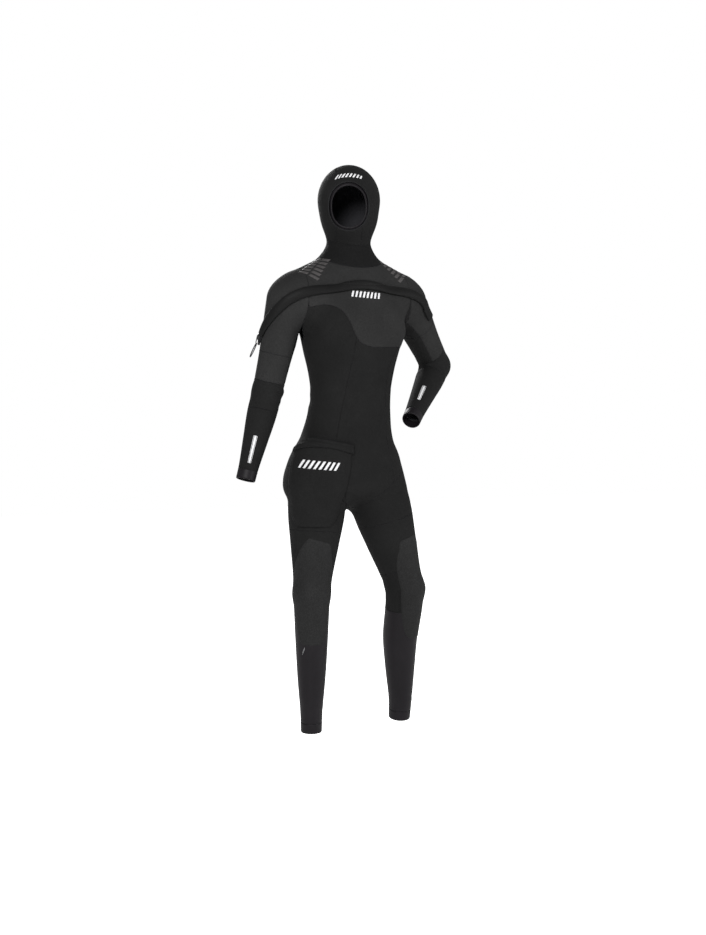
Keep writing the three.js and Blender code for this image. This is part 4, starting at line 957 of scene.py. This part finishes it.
LINES = {"neck": bend_line(["neck_collar"], (unit([0, -0.8, 1]), unit([0, 0.3, 1])))}
RIDE["neck_collar"] = ("torso", "hood", *LINES["neck"])
for s, who in (("R", "right"), ("L", "left")):
    (a, f), (b, g) = arm_axes[s], leg_axes[s]
    LINES[f"{who}_shoulder"] = bend_line([f"{who}_sleeve_head"], (ARMHOLE_N[s], a))
    LINES[f"{who}_elbow"] = bend_line([f"{who}_elbow_panel"], (a, f))
    LINES[f"{who}_hip"] = bend_line([f"{who}_thigh_top"], (GROIN_N[s], b))
    LINES[f"{who}_knee"] = bend_line([f"{who}_knee_front", f"{who}_knee_back"], (b, g))
    RIDE[f"{who}_sleeve_head"] = ("torso", f"{who}_upper_arm", *LINES[f"{who}_shoulder"])
    RIDE[f"{who}_elbow_panel"] = (f"{who}_upper_arm", f"{who}_lower_arm", *LINES[f"{who}_elbow"])
    RIDE[f"{who}_thigh_top"] = ("torso", f"{who}_upper_leg", *LINES[f"{who}_hip"])
    for part in ("front", "back"):
        RIDE[f"{who}_knee_{part}"] = (f"{who}_upper_leg", f"{who}_lower_leg", *LINES[f"{who}_knee"])


def attach(o, ride):
    if len(ride) == 1:
        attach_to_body(o, ride[0])
    else:
        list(ride)
        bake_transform(o)
    return o


print(len(LINES), "bends")
for name, made in PANELS.items():
    made["object"].name = name
    attach(made["object"], RIDE[name])

# %% [markdown]
# ## Pieces laid on the suit
# Badges, labels, the zip and the pocket all lie on the finished surface. Each one is a thin grid whose
# points are first dropped onto the form and then lifted to their own height, so nothing floats or sinks.
# %% Plates on the surface
def seat(o, d):
    d = unit(d)
    p = hit(o, d)
    return p, normal_at(p)


def plate(name, on, us, vs, lo, hi, mats, round_edge=0.0):
    """A closed plate: on(u, v) finds the surface, lo and hi are heights above it in millimetres."""
    u, v = [g.ravel() for g in np.meshgrid(us, vs, indexing="ij")]
    p, n = on(u, v)
    low = lo(u, v) if callable(lo) else np.full(len(u), float(lo))
    high = hi(u, v) if callable(hi) else np.full(len(u), float(hi))
    if round_edge:
        du = np.minimum(u - us[0], us[-1] - u)
        dv = np.minimum(v - vs[0], vs[-1] - v)
        high = high - round_edge * np.exp(-((np.minimum(du, dv) / 0.9) ** 2))
    shape = (len(us), len(vs), 3)
    return sheet_object(name, (p + n * high[:, None]).reshape(shape), (p + n * low[:, None]).reshape(shape), mats)


def bars(name, on, bars_at, lean, v0, v1, lo, hi, mats):
    """Slanted bars in one mesh: bars_at are the (left, right) ends of each bar along u."""
    verts, faces, kinds = [], [], []
    for left, right in bars_at:
        us, vs = np.linspace(left, right, 6), np.linspace(v0, v1, 8)
        u, v = [g.ravel() for g in np.meshgrid(us, vs, indexing="ij")]
        p, n = on(u + lean * (v - v0), v)
        fo, fi, fe = sheet_faces(6, 8, False, False)
        k = len(verts) * 96
        verts.append(np.concatenate([p + n * hi, p + n * lo]))
        faces += [[i + k for i in f] for f in fo + fi + fe]
    verts = np.concatenate(verts)
    tri = A([f[:3] for f in faces])
    a, b, c = verts[tri[:, 0]], verts[tri[:, 1]], verts[tri[:, 2]]
    if np.einsum("ij,ij->i", a, np.cross(b, c)).sum() < 0:
        faces = [f[::-1] for f in faces]
    return mesh_object(name, verts, faces, mats)


# %% [markdown]
# ## Knee pads
# Kneeling on rock wears through jersey, so a coarse cloth printed with rubber dashes is glued over each
# knee, from the lower thigh to below the calf's top.
# %% Knee pads
def on_leg(s):
    def on(u, v):
        low = v < KNEE[s][2]
        top, foot = np.where(low[:, None], KNEE[s], HIP[s]), np.where(low[:, None], ANKLE[s], KNEE[s])
        t = (v - foot[:, 2]) / (top[:, 2] - foot[:, 2])
        o = foot + (top - foot) * t[:, None]
        a = math.atan2(LEG_FRONT[s][0], -LEG_FRONT[s][1]) + np.radians(u)
        return seat(o, np.stack([np.sin(a), -np.cos(a), 0 * a], -1))

    return on


# the pad's outline: share of its height, half width in degrees, lean to the inner side in degrees
PAD_SHAPE = [[0, 34, 4], [0.04, 50, 3], [0.2, 66, 2], [0.5, 73, 0], [0.72, 64, 2], [0.9, 40, 8], [0.97, 30, 12], [1, 24, 13]]


def pad_grid(s):
    inner = 1 if s == "R" else -1

    def on(k, t):
        half, lean = curve(PAD_SHAPE, t).T
        v = 334 + 306 * t - 9 * k * inner * smooth(0.7, 1, t)
        return on_leg(s)(k * half + inner * lean, v)

    return on


for s, who in (("R", "right"), ("L", "left")):
    ks = np.concatenate([[-1, -0.985, -0.96], np.linspace(-0.92, 0.92, 40), [0.96, 0.985, 1]])
    ts = np.concatenate([[0, 0.004, 0.01], np.linspace(0.02, 0.98, 90), [0.99, 0.996, 1]])
    high = lambda k, t: 0.9 - 0.9 * np.exp(-((np.minimum(1 - np.abs(k), 5 * np.minimum(t, 1 - t)) / 0.03) ** 2))
    o = plate(f"{who}_knee_pad", pad_grid(s), ks, ts, -0.8, high, [PAD] * 3)
    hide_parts(f"{who}_knee_front")
    attach(o, RIDE[f"{who}_knee_front"])

# %% [markdown]
# ## The entry zip
# The suit is entered through a zip from sleeve to sleeve over the chest. Its run is where a slanting
# plane meets the form, measured in millimetres from the closed end on the right sleeve. A rubber flap
# covers all of it but the slider. The tapes, teeth and cover flap are cut at the middle of the chest into a right and a
# left half.
# %% The run of the zip
ZIP_EYE = A([0, 30, 1384 - 1.15 * 118])
ZIP_WAY = unit([0, -1, 1.15])


def zip_aim(deg):
    a = np.radians(deg)
    eye = np.stack([-185 * smooth(40, 85, -deg) + 90 * smooth(40, 85, deg), ZIP_EYE[1] + 0 * a, ZIP_EYE[2] + 0 * a], -1)
    return hit(eye, A([1.0, 0, 0]) * np.sin(a)[:, None] + ZIP_WAY * np.cos(a)[:, None])


zip_deg = np.arange(-122, 79, 1.0)
zip_points = zip_aim(zip_deg)
zip_mm = np.concatenate([[0], np.cumsum(np.linalg.norm(np.diff(zip_points, axis=0), axis=-1))])


def zip_frame(mm):
    mm = np.atleast_1d(np.asarray(mm, float))
    at = lambda m: zip_aim(np.interp(m, zip_mm, zip_deg) + np.where(m < 0, m / 3.6, 0))
    p, T = at(mm), unit(at(mm + 3) - at(mm - 3))
    n = normal_at(p)
    n = unit(n - T * np.einsum("ij,ij->i", n, T)[:, None])
    b = np.cross(n, T)
    return p, T, n, np.where(b[:, 2:] < 0, -b, b)


def on_zip(mm, u):
    known, back = np.unique(mm, return_inverse=True)
    p, T, n, b = [v[back] for v in zip_frame(known)]
    q = p + b * u[:, None]
    return seat(q - n * 34, n)


print("zip run", round(float(zip_mm[-1])), "mm")

# %% Tapes, cover flap and end dock
HALVES = (("right", 4, 352), ("left", 352, ZIP_LONG))
MIDDLE = 352


def zip_ride(who):
    return RIDE[f"{who}_sleeve_head"]


def flap_rise(mm, u):
    rise = curve([[-13.5, 2.4], [-7, 4.6], [0, 5.4], [7, 4.6], [14, 1.6]], u)[:, 0] + ZIP_LIFT - 0.4
    return rise + 0.25 * np.sin(mm / 17.0) * smooth(14, 6, np.abs(u))


for who, m0, m1 in HALVES:
    run = np.arange(m0, m1 + 0.1, (m1 - m0) / 120)
    for row, u0, u1 in (("lower", -10.8, -0.8), ("upper", 0.8, 10.8)):
        o = plate(f"zip_tape_{row}_{who}", on_zip, run, np.linspace(u0, u1, 7), ZIP_LIFT - 2.2, ZIP_LIFT + 1.0, [TAPE] * 3, 0.4)
        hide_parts(f"zip_tape_{row}")
        attach(o, zip_ride(who))
    m0, m1 = (29, MIDDLE) if who == "right" else (MIDDLE, ZIP_LONG + 8)
    run = np.linspace(m0, m1, 150)
    across = np.concatenate([[-13.5, -13.1, -12.4], np.linspace(-11, 11.5, 22), [12.9, 13.6, 14]])
    top = lambda mm, u: flap_rise(mm, u) + 2.4 - 1.6 * np.exp(-((np.minimum(u + 13.5, 14 - u) / 0.9) ** 2))
    o = plate(f"zip_cover_flap_{who}", on_zip, run, across, lambda mm, u: flap_rise(mm, u) - 2.4 * smooth(11, 13, np.abs(u)), top, [FLAP] * 3)
    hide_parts("zip_cover_flap")
    attach(o, zip_ride(who))
water_flap = plate("zip_under_flap", on_zip, np.linspace(250, 470, 50), np.linspace(-16, 16, 9), -SUIT_THICK - 4.4, -SUIT_THICK - 2.4, [JERSEY] * 3)
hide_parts("zip_under_flap")
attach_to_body(water_flap, "torso")
dock = plate("zip_end_dock", on_zip, np.linspace(-10, 3.2, 8), np.linspace(-11, 11, 12), ZIP_LIFT - 2, ZIP_LIFT + 5, [PLASTIC] * 3, 1.4)
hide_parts("zip_end_dock")
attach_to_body(dock, "right_upper_arm")


# %% [markdown]
# ## Teeth and stitches
# A moulded zip this long has about two hundred teeth a side, and the seams have thousands of stitches.
# Modelling each by hand is hopeless and an array can't follow a body. So the places are worked out once,
# and a node tree sets one small piece on every place, turns it, and makes it real.
# %% A node tree that sets one piece on many places
REPEAT = bpy.data.node_groups.new("Repeat on places", "GeometryNodeTree")
for label, kind in (("Geometry", "NodeSocketGeometry"), ("Piece", "NodeSocketObject"), ("Size", "NodeSocketFloat"), ("Surface", "NodeSocketMaterial")):
    REPEAT.interface.new_socket(label, in_out="INPUT", socket_type=kind)
REPEAT.interface.new_socket("Geometry", in_out="OUTPUT", socket_type="NodeSocketGeometry")
gn = {k: REPEAT.nodes.new(t) for k, t in (
    ("in", "NodeGroupInput"), ("out", "NodeGroupOutput"), ("points", "GeometryNodeMeshToPoints"),
    ("turn", "GeometryNodeInputNamedAttribute"), ("piece", "GeometryNodeObjectInfo"), ("set", "GeometryNodeInstanceOnPoints"),
    ("real", "GeometryNodeRealizeInstances"), ("paint", "GeometryNodeSetMaterial"))}
gn["turn"].data_type = "FLOAT_VECTOR"
gn["turn"].inputs["Name"].default_value = "turn"
for a, b in (
    (gn["in"].outputs["Geometry"], gn["points"].inputs["Mesh"]),
    (gn["points"].outputs[0], gn["set"].inputs["Points"]),
    (gn["in"].outputs["Piece"], gn["piece"].inputs["Object"]),
    (gn["piece"].outputs["Geometry"], gn["set"].inputs["Instance"]),
    (gn["turn"].outputs["Attribute"], gn["set"].inputs["Rotation"]),
    (gn["in"].outputs["Size"], gn["set"].inputs["Scale"]),
    (gn["set"].outputs[0], gn["real"].inputs[0]),
    (gn["real"].outputs[0], gn["paint"].inputs["Geometry"]),
    (gn["in"].outputs["Surface"], gn["paint"].inputs["Material"]),
    (gn["paint"].outputs[0], gn["out"].inputs[0]),
):
    REPEAT.links.new(a, b)


def repeat(name, places, along, normal, piece, surface):
    """One copy of piece at each place, its X along the way and its Z along the normal."""
    from mathutils import Matrix

    x, z = unit(along), unit(normal)
    y = unit(np.cross(z, x))
    z = np.cross(x, y)
    turns = [list(Matrix(m.tolist()).to_euler()) for m in np.stack([x, y, z], -1)]
    o = mesh_object(name, places, [], [surface])
    turn = o.data.attributes.new("turn", "FLOAT_VECTOR", "POINT")
    turn.data.foreach_set("vector", A(turns, np.float32).ravel())
    mod = o.modifiers.new("Repeat", "NODES")
    mod.node_group = REPEAT
    ids = {s.name: s.identifier for s in REPEAT.interface.items_tree if s.in_out == "INPUT"}
    mod[ids["Piece"]], mod[ids["Size"]], mod[ids["Surface"]] = piece, 1.0, surface
    shown = o.evaluated_get(bpy.context.evaluated_depsgraph_get())
    m = bpy.data.meshes.new_from_object(shown)
    o.modifiers.remove(mod)
    o.data = m
    return o


def small_piece(name, sections, sides, mat):
    """A short rounded bar along X from sections [x, half width, half height, lift] in millimetres."""
    verts, faces = [], []
    for x, w, h, lift in sections:
        for k in range(sides):
            a = 2 * math.pi * (k + 0.5) / sides
            verts.append([x, w * math.cos(a), lift + h * math.sin(a)])
    for i in range(len(sections) - 1):
        for k in range(sides):
            a, b = i * sides + k, i * sides + (k + 1) % sides
            faces.append([a, b, b + sides, a + sides])
    faces.append(list(range(sides))[::-1])
    faces.append(list(range((len(sections) - 1) * sides, len(sections) * sides)))
    return mesh_object(name, A(verts), faces, [mat])


# %% Teeth
tooth = small_piece("tooth", [[-1.2, 0.5, 0.7, 0], [-0.9, 0.9, 1.0, 0], [0.7, 0.9, 1.0, 0], [1.9, 0.6, 0.9, 0], [2.3, 0.35, 0.5, 0]], 8, PLASTIC)
for who, m0, m1 in HALVES:
    for row, sign in (("lower", -1), ("upper", 1)):
        mm = np.arange(m0 + 3 + (1.7 if sign > 0 else 0), m1 - 3, TOOTH_PITCH)
        p, T, n, b = zip_frame(mm)
        o = repeat(f"zip_teeth_{row}_{who}", p + b * sign * 1.6 + n * (ZIP_LIFT + 2.9), -b * sign, n, tooth, PLASTIC)
        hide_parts(f"zip_teeth_{row}")
        attach(o, zip_ride(who))

# %% Slider, pull tab and cord loop
fp, fT, fn, fb = [v[0] for v in zip_frame([16])]


def on_slider(pts):
    pts = A(pts, float)
    return fp + pts[:, :1] * fT + pts[:, 1:2] * fb + pts[:, 2:] * fn


def moulded(name, outline, x0, x1, node, body):
    """A rounded channel: the outline [across, height] swept along the zip, slimmer at its two ends."""
    rim = A(outline, float)
    mid = rim.mean(0)
    rings = []
    for x, k in ((x0, 0.86), (x0 + 0.5, 0.95), (x0 + 1.4, 1), (x1 - 1.4, 1), (x1 - 0.5, 0.95), (x1, 0.86)):
        q = mid + (rim - mid) * k
        rings.append(on_slider([[x, a, h] for a, h in q]))
    n = len(rim)
    verts = np.concatenate(rings)
    faces = [[i * n + k, i * n + (k + 1) % n, (i + 1) * n + (k + 1) % n, (i + 1) * n + k] for i in range(5) for k in range(n)]
    faces += [list(range(n))[::-1], list(range(5 * n, 6 * n))]
    o = mesh_object(name, verts, faces, [PLASTIC])
    for poly in o.data.polygons:
        poly.use_smooth = False
    bevel = o.modifiers.new("Soft edges", "BEVEL")
    bevel.width, bevel.segments, bevel.limit_method = 0.0004, 2, "ANGLE"
    m = bpy.data.meshes.new_from_object(o.evaluated_get(bpy.context.evaluated_depsgraph_get()))
    o.modifiers.remove(bevel)
    o.data = m
    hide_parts(node)
    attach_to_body(o, body)
    return o


channel = [[-6.5, 1.8], [-6.5, 5.8], [-4.5, 7.4], [4.5, 7.4], [6.5, 5.8], [6.5, 1.8], [4.3, 1.8], [4.3, 4.8], [-4.3, 4.8], [-4.3, 1.8]]
moulded("zip_slider", [[a, h + ZIP_LIFT] for a, h in channel], -8, 8, "zip_slider", "slider")
tab = [[-3.5, 8.2], [-3.1, 7.9], [3.1, 7.9], [3.5, 8.2], [3.5, 9.6], [3.1, 9.9], [-3.1, 9.9], [-3.5, 9.6]]
moulded("zip_pull_tab", [[a, h + ZIP_LIFT] for a, h in tab], -22, 5, "zip_pull_tab", "pull")

turn = np.linspace(0, 2 * math.pi, 97)[:-1]
loop = on_slider(np.stack([-50 + 26 * np.cos(turn), 6.5 * np.sin(turn), 12 - 2.5 * np.cos(turn) + 4.5 * np.sin(turn / 2) ** 2], -1))
way = unit(np.roll(loop, -1, axis=0) - np.roll(loop, 1, axis=0))
side_way = unit(np.cross(way, fn))
up_way = np.cross(way, side_way)
round_cord = np.radians(np.arange(0, 360, 24.0))
strand = 1.46 + 0.07 * np.cos(round_cord[None] * 3 + np.arange(96)[:, None] * 1.309)
ring = loop[:, None] + side_way[:, None] * (np.cos(round_cord) * strand)[..., None] + up_way[:, None] * (np.sin(round_cord) * strand)[..., None]
faces = [[i * 15 + k, i * 15 + (k + 1) % 15, (i + 1) % 96 * 15 + (k + 1) % 15, (i + 1) % 96 * 15 + k] for i in range(96) for k in range(15)]
tri = A([f[:3] for f in faces])
flat = ring.reshape(-1, 3) - loop.mean(0)
if np.einsum("ij,ij->i", flat[tri[:, 0]], np.cross(flat[tri[:, 1]], flat[tri[:, 2]])).sum() < 0:
    faces = [f[::-1] for f in faces]
cord = mesh_object("zip_pull_cord", ring.reshape(-1, 3), faces, [THREAD])
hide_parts("zip_pull_cord")
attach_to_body(cord, "pull")

# %% [markdown]
# ## Cargo pocket
# The pocket is a backing cloth sewn to hip and thigh, a bellows face that stands off it, and a padded
# flap that arches over the mouth. The flap's upper edge is sewn down. The face is puffed by a smooth height over the
# leg, rather than inflated, so that it stays the size it was cut to.
# %% Pocket
POCKET_Z = 800.0
PW, PH = POCKET_WIDTH / 2, POCKET_HEIGHT / 2


def on_pocket(u, v):
    t = np.clip((v + 130) / 260, 0, 1)
    a = math.radians(-34) + u / 92
    o = np.stack([-106 + 30 * t, 12 + 0 * t, POCKET_Z + v], -1)
    return seat(o, np.stack([np.sin(a), -np.cos(a), 0 * a], -1))


def pocket_half(v):
    foot = np.maximum((-v - PH + 46) / 60, 0)
    return PW * (0.8 + 0.2 * smooth(-PH, PH * 0.6, v)) * np.sqrt(np.maximum(1 - foot**2, 0.1))


def pocket_grid(k, v):
    return on_pocket(k * pocket_half(v), v + (14 * (1 - k * k) - 4) * smooth(20, PH - 30, v))


def puff(k, v):
    across = 1 - np.abs(k) ** 5
    foot = smooth(-PH - 2, -PH + 34, v)
    seam = 1.1 * np.exp(-(((np.abs(k) - 0.86) / 0.03) ** 2))
    sag = 1.2 * np.exp(-(((v + 62 - 14 * k) / 16) ** 2)) + 0.8 * np.exp(-(((v - 10 + 20 * k) / 20) ** 2))
    return 3.4 + (POCKET_DEPTH - 6) * across * foot - (seam + sag * across) * foot


ks = np.concatenate([[-1, -0.99, -0.97, -0.94], np.linspace(-0.9, 0.9, 46), [0.94, 0.97, 0.99, 1]])
vs = np.concatenate([[-PH, -PH + 1, -PH + 3], np.linspace(-PH + 6, PH - 18, 60), [PH - 15, PH - 14]])
o = plate("pocket_backing", pocket_grid, ks, np.concatenate([vs, [PH - 8, PH]]), -1.2, 3.0, OUT_IN)
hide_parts("pocket_backing")
attach(o, RIDE["right_thigh_top"])
rim = lambda k, v: puff(k, v) + 2.6 - 1.2 * np.exp(-((np.minimum(PH - 14 - v, 30) / 1.0) ** 2))
o = plate("pocket_face", pocket_grid, ks, vs, lambda k, v: puff(k, v) - 3.2 * smooth(0.93, 1, np.abs(k)), rim, OUT_IN)
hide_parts("pocket_face")
attach(o, RIDE["right_thigh_top"])


def flap_grid(k, v):
    return on_pocket(k * (PW + 3), v + 14 * (1 - k * k) - 4)


def flap_lift(k, v):
    mouth = puff(k, np.full(len(v), PH - 14.0)) + 3.2
    return mouth + (2 - mouth) * smooth(PH - 3, PH + 4.5, v) + 1.2 * smooth(PH - 10, PH - 16, v)


def flap_top(k, v):
    roll = np.minimum(np.minimum(v - (PH - 26), PH + 5 - v), 3) / 3
    return flap_lift(k, v) + 0.6 + 2.6 * np.sqrt(np.clip(1 - (1 - roll) ** 2, 0, 1)) + 1.6 * np.exp(-(((v - PH + 15) / 6) ** 2))


o = plate("pocket_flap", flap_grid, ks, np.linspace(PH - 26, PH + 5, 34), flap_lift, flap_top, OUT_IN)
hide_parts("pocket_flap")
flap_foot = on_pocket(A([0.0]), A([PH + 6.0]))[0][0]
flap_free = flap_foot + A([0, 0, -13.0])
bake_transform(o)

# %% [markdown]
# ## Badges, labels and prints
# The real marks are names, and they stay with their owner. Plain slanted bars of the same size and
# brightness stand in for them. The grey lozenges on the shoulders are a grip print, which keeps straps
# from slipping; they are thin raised plates of rubber.
# %% Badges
slants = lambda w, n, step: [(-w + i * step, -w + i * step + step * 0.5) for i in range(n)]


def badge(name, on, bars_at, lean, v0, v1, hi, body, ink=PRINT):
    o = bars(name, on, bars_at, lean, v0, v1, hi - 0.5, hi, [ink])
    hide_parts(name)
    attach(o, body)
    return o


def zero(u):
    return 0 * u


chest_on = lambda u, v: seat(np.stack([u + 2, zero(u), 1346 + v - 0.06 * u], -1), np.broadcast_to(A([0, -1.0, 0]), (len(u), 3)))
badge("chest_badge", chest_on, slants(48, 8, 12), 0.45, -9, 9, 0.7, ("torso",))
hood_on = lambda u, v: seat(EYE + HX * (u * 0.4)[:, None], HF * 60 + HX * (u * 0.62)[:, None] + HU * (52 + v)[:, None])
badge("hood_badge", hood_on, slants(32, 8, 8), 0.4, -7, 7, 0.7, ("hood",))


def pocket_mark(u, v):
    p, n = on_pocket(u, 56 + v - u * 0.09)
    return p + n * (puff(np.clip(u / PW, -0.6, 0.6), 50 + zero(u)) + 2.6)[:, None], n


badge("pocket_badge", pocket_mark, slants(46, 8, 11.5), 0.45, -11, 11, 0.7, RIDE["right_thigh_top"])


def on_arm(s, at, toward):
    f = arm_axes[s][1]

    def on(u, v):
        c = WRIST[s] - f * (at + v)[:, None]
        d = unit(A(toward) - f * (A(toward) @ f))
        return seat(c, d + np.cross(f, d) * (u / 34)[:, None])

    return on


for s, who, at, toward, long in (("R", "right", 86, [-0.47, -0.88, 0], 40), ("L", "left", 92, [-0.6, -0.8, 0], 30)):
    o = bars(f"{who}_forearm_label", on_arm(s, at, toward), [(-5, -3.9), (-2.6, 2.6), (3.9, 5)], 0.0, -long, long, 0.2, 0.7, [PRINT])
    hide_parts(f"{who}_forearm_label")
    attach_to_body(o, f"{who}_lower_arm")


def on_shin(u, v):
    f = leg_axes["R"][1]
    c = ANKLE["R"] - f * (246 + v + u * 0.7)[:, None]
    return seat(c, np.stack([-0.85 + u / 60, -0.5 + zero(u), zero(u)], -1))


badge("right_shin_label", on_shin, slants(12, 3, 8), 0.3, -4, 4, 0.7, ("right_lower_leg",), ink=GREY_PRINT)

# %% Grip prints on the shoulders
for who, sx in (("right", -1), ("left", 1)):
    made = []
    for column in range(2):
        for row in range(6):
            def on(u, v, column=column, row=row):
                t = np.radians(46 + 30 * column - 6 * row + u)
                x = 146 - 12 * row - 10 * column - 0.4 * u + v
                o = np.stack([sx * x, 16 + 0 * x, 1438 - 0.586 * (x - 42)], -1)
                return seat(o, np.stack([sx * 0.5 * np.cos(t), -np.sin(t), 0.86 * np.cos(t)], -1))
            made.append(bars(f"grip_{who}_{column}_{row}", on, [(-12, 12)], 0.0, -4.2, 4.2, -0.4, 0.5, [GRIP]))
    with bpy.context.temp_override(active_object=made[0], selected_editable_objects=made, selected_objects=made):
        bpy.ops.object.join()
    made[0].name = f"{who}_shoulder_print"
    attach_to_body(made[0], "torso")

# %% Stitches along the seams
stitch = small_piece("stitch", [[-2.1, 0.12, 0.1, -0.5], [-1.5, 0.24, 0.2, 0.0], [0, 0.26, 0.22, 0.12], [1.5, 0.24, 0.2, 0.0], [2.1, 0.12, 0.1, -0.5]], 6, THREAD)
count = 0
for name, made in PANELS.items():
    lines = []
    if not made["pole"] and name != "face_seal":
        lines.append((made["outer"][:, 0], made["outer"][:, 2], made["normal"][:, 0], made["closed"], 0))
    else:
        lines.append((made["outer"][:, -1], made["outer"][:, -3], made["normal"][:, -1], True, -1))
    if not made["closed"]:
        lines.append((made["outer"][0], made["outer"][2], made["normal"][0], False, None))
    # stitches down both sides of the black underarm strip of painted shade
    for side in made["strip"]:
        lines.append((made["outer"][side], made["outer"][side + 2], made["normal"][side], False, None))
    for k, (rim_line, inside, nrm, loops_round, end) in enumerate(lines):
        if loops_round:
            rim_line, inside, nrm = [np.concatenate([v, v[:1]]) for v in (rim_line, inside, nrm)]
        step = np.linalg.norm(np.diff(rim_line, axis=0), axis=-1)
        run = np.concatenate([[0], np.cumsum(step)])
        places = np.arange(2, run[-1] - 2, STITCH_PITCH)
        pick = lambda v: np.stack([np.interp(places, run, v[:, i]) for i in range(3)], -1)
        p, q, n = pick(rim_line), pick(inside), unit(pick(nrm))
        o = repeat(f"{name}_stitches_{k}", p + n * 0.75, unit(p - q) + 0.35 * unit(np.cross(n, p - q)), n, stitch, THREAD)
        ride = RIDE[name]
        if len(ride) > 1 and end == 0:
            ride = (ride[0],)
        attach(o, ride)
        count += len(places)
print(count, "stitches")
for o in (tooth, stitch):
    bpy.data.objects.remove(o)

# %% [markdown]
# ## Studio
# The suit is looked at from its right front, from about hip height, in even white light. A pale floor
# and a white room give black cloth its edges. Three soft lamps pick out the weave and the seams.
# %% Floor, light and camera
def lamp(name, place, target, size, power):
    from mathutils import Vector

    data = bpy.data.lights.new(name, "AREA")
    data.shape, data.size, data.energy = "DISK", size, power
    o = bpy.data.objects.new(name, data)
    o.location = place
    o.rotation_euler = (Vector(target) - Vector(place)).to_track_quat("-Z", "Y").to_euler()
    bpy.context.scene.collection.objects.link(o)
    return o


floor = mesh_object("floor", A([[-9000, -9000, -1], [9000, -9000, -1], [9000, 9000, -1], [-9000, 9000, -1]]), [[0, 1, 2, 3]], [])
paper = bpy.data.materials.new("Studio paper")
paper.use_nodes = True
shader = paper.node_tree.nodes["Principled BSDF"]
shader.inputs["Base Color"].default_value = (0.93, 0.93, 0.93, 1)
shader.inputs["Roughness"].default_value = 1.0
shader.inputs["Emission Color"].default_value = (1, 1, 1, 1)
seen = paper.node_tree.nodes.new("ShaderNodeLightPath")
paper.node_tree.links.new(seen.outputs["Is Camera Ray"], shader.inputs["Emission Strength"])
floor.data.materials.append(paper)
world = bpy.data.worlds.new("Studio")
bpy.context.scene.world = world
world.use_nodes = True
world.node_tree.nodes["Background"].inputs["Color"].default_value = (1, 1, 1, 1)
seen = world.node_tree.nodes.new("ShaderNodeLightPath")
glow = remap(world.node_tree, seen.outputs["Is Camera Ray"], 0, 1, 0.42, 1.0)
world.node_tree.links.new(glow, world.node_tree.nodes["Background"].inputs["Strength"])
lamp("key", (-2.6, -3.2, 2.6), (0, 0, 1.0), 1.4, 160)
lamp("fill", (2.8, -3.0, 1.6), (0, 0, 1.0), 1.8, 70)
lamp("back", (0.4, 3.4, 2.8), (0, 0, 1.1), 1.4, 90)

from mathutils import Vector

camera = bpy.data.objects.new("camera", bpy.data.cameras.new("camera"))
bpy.context.scene.collection.objects.link(camera)
around, far = math.radians(-28), 5.0
side_step = Vector((math.cos(around), math.sin(around), 0)) * 0.006
aim = side_step + Vector((0, 0, 0.845))
camera.location = side_step + Vector((math.sin(around) * far, -math.cos(around) * far, 1.10))
camera.rotation_euler = (aim - camera.location).to_track_quat("-Z", "Y").to_euler()
camera.data.sensor_fit, camera.data.sensor_height, camera.data.lens = "VERTICAL", 24.0, 43.8
camera.data.dof.use_dof = False
bpy.context.scene.camera = camera
bpy.context.scene.view_settings.view_transform = "Standard"
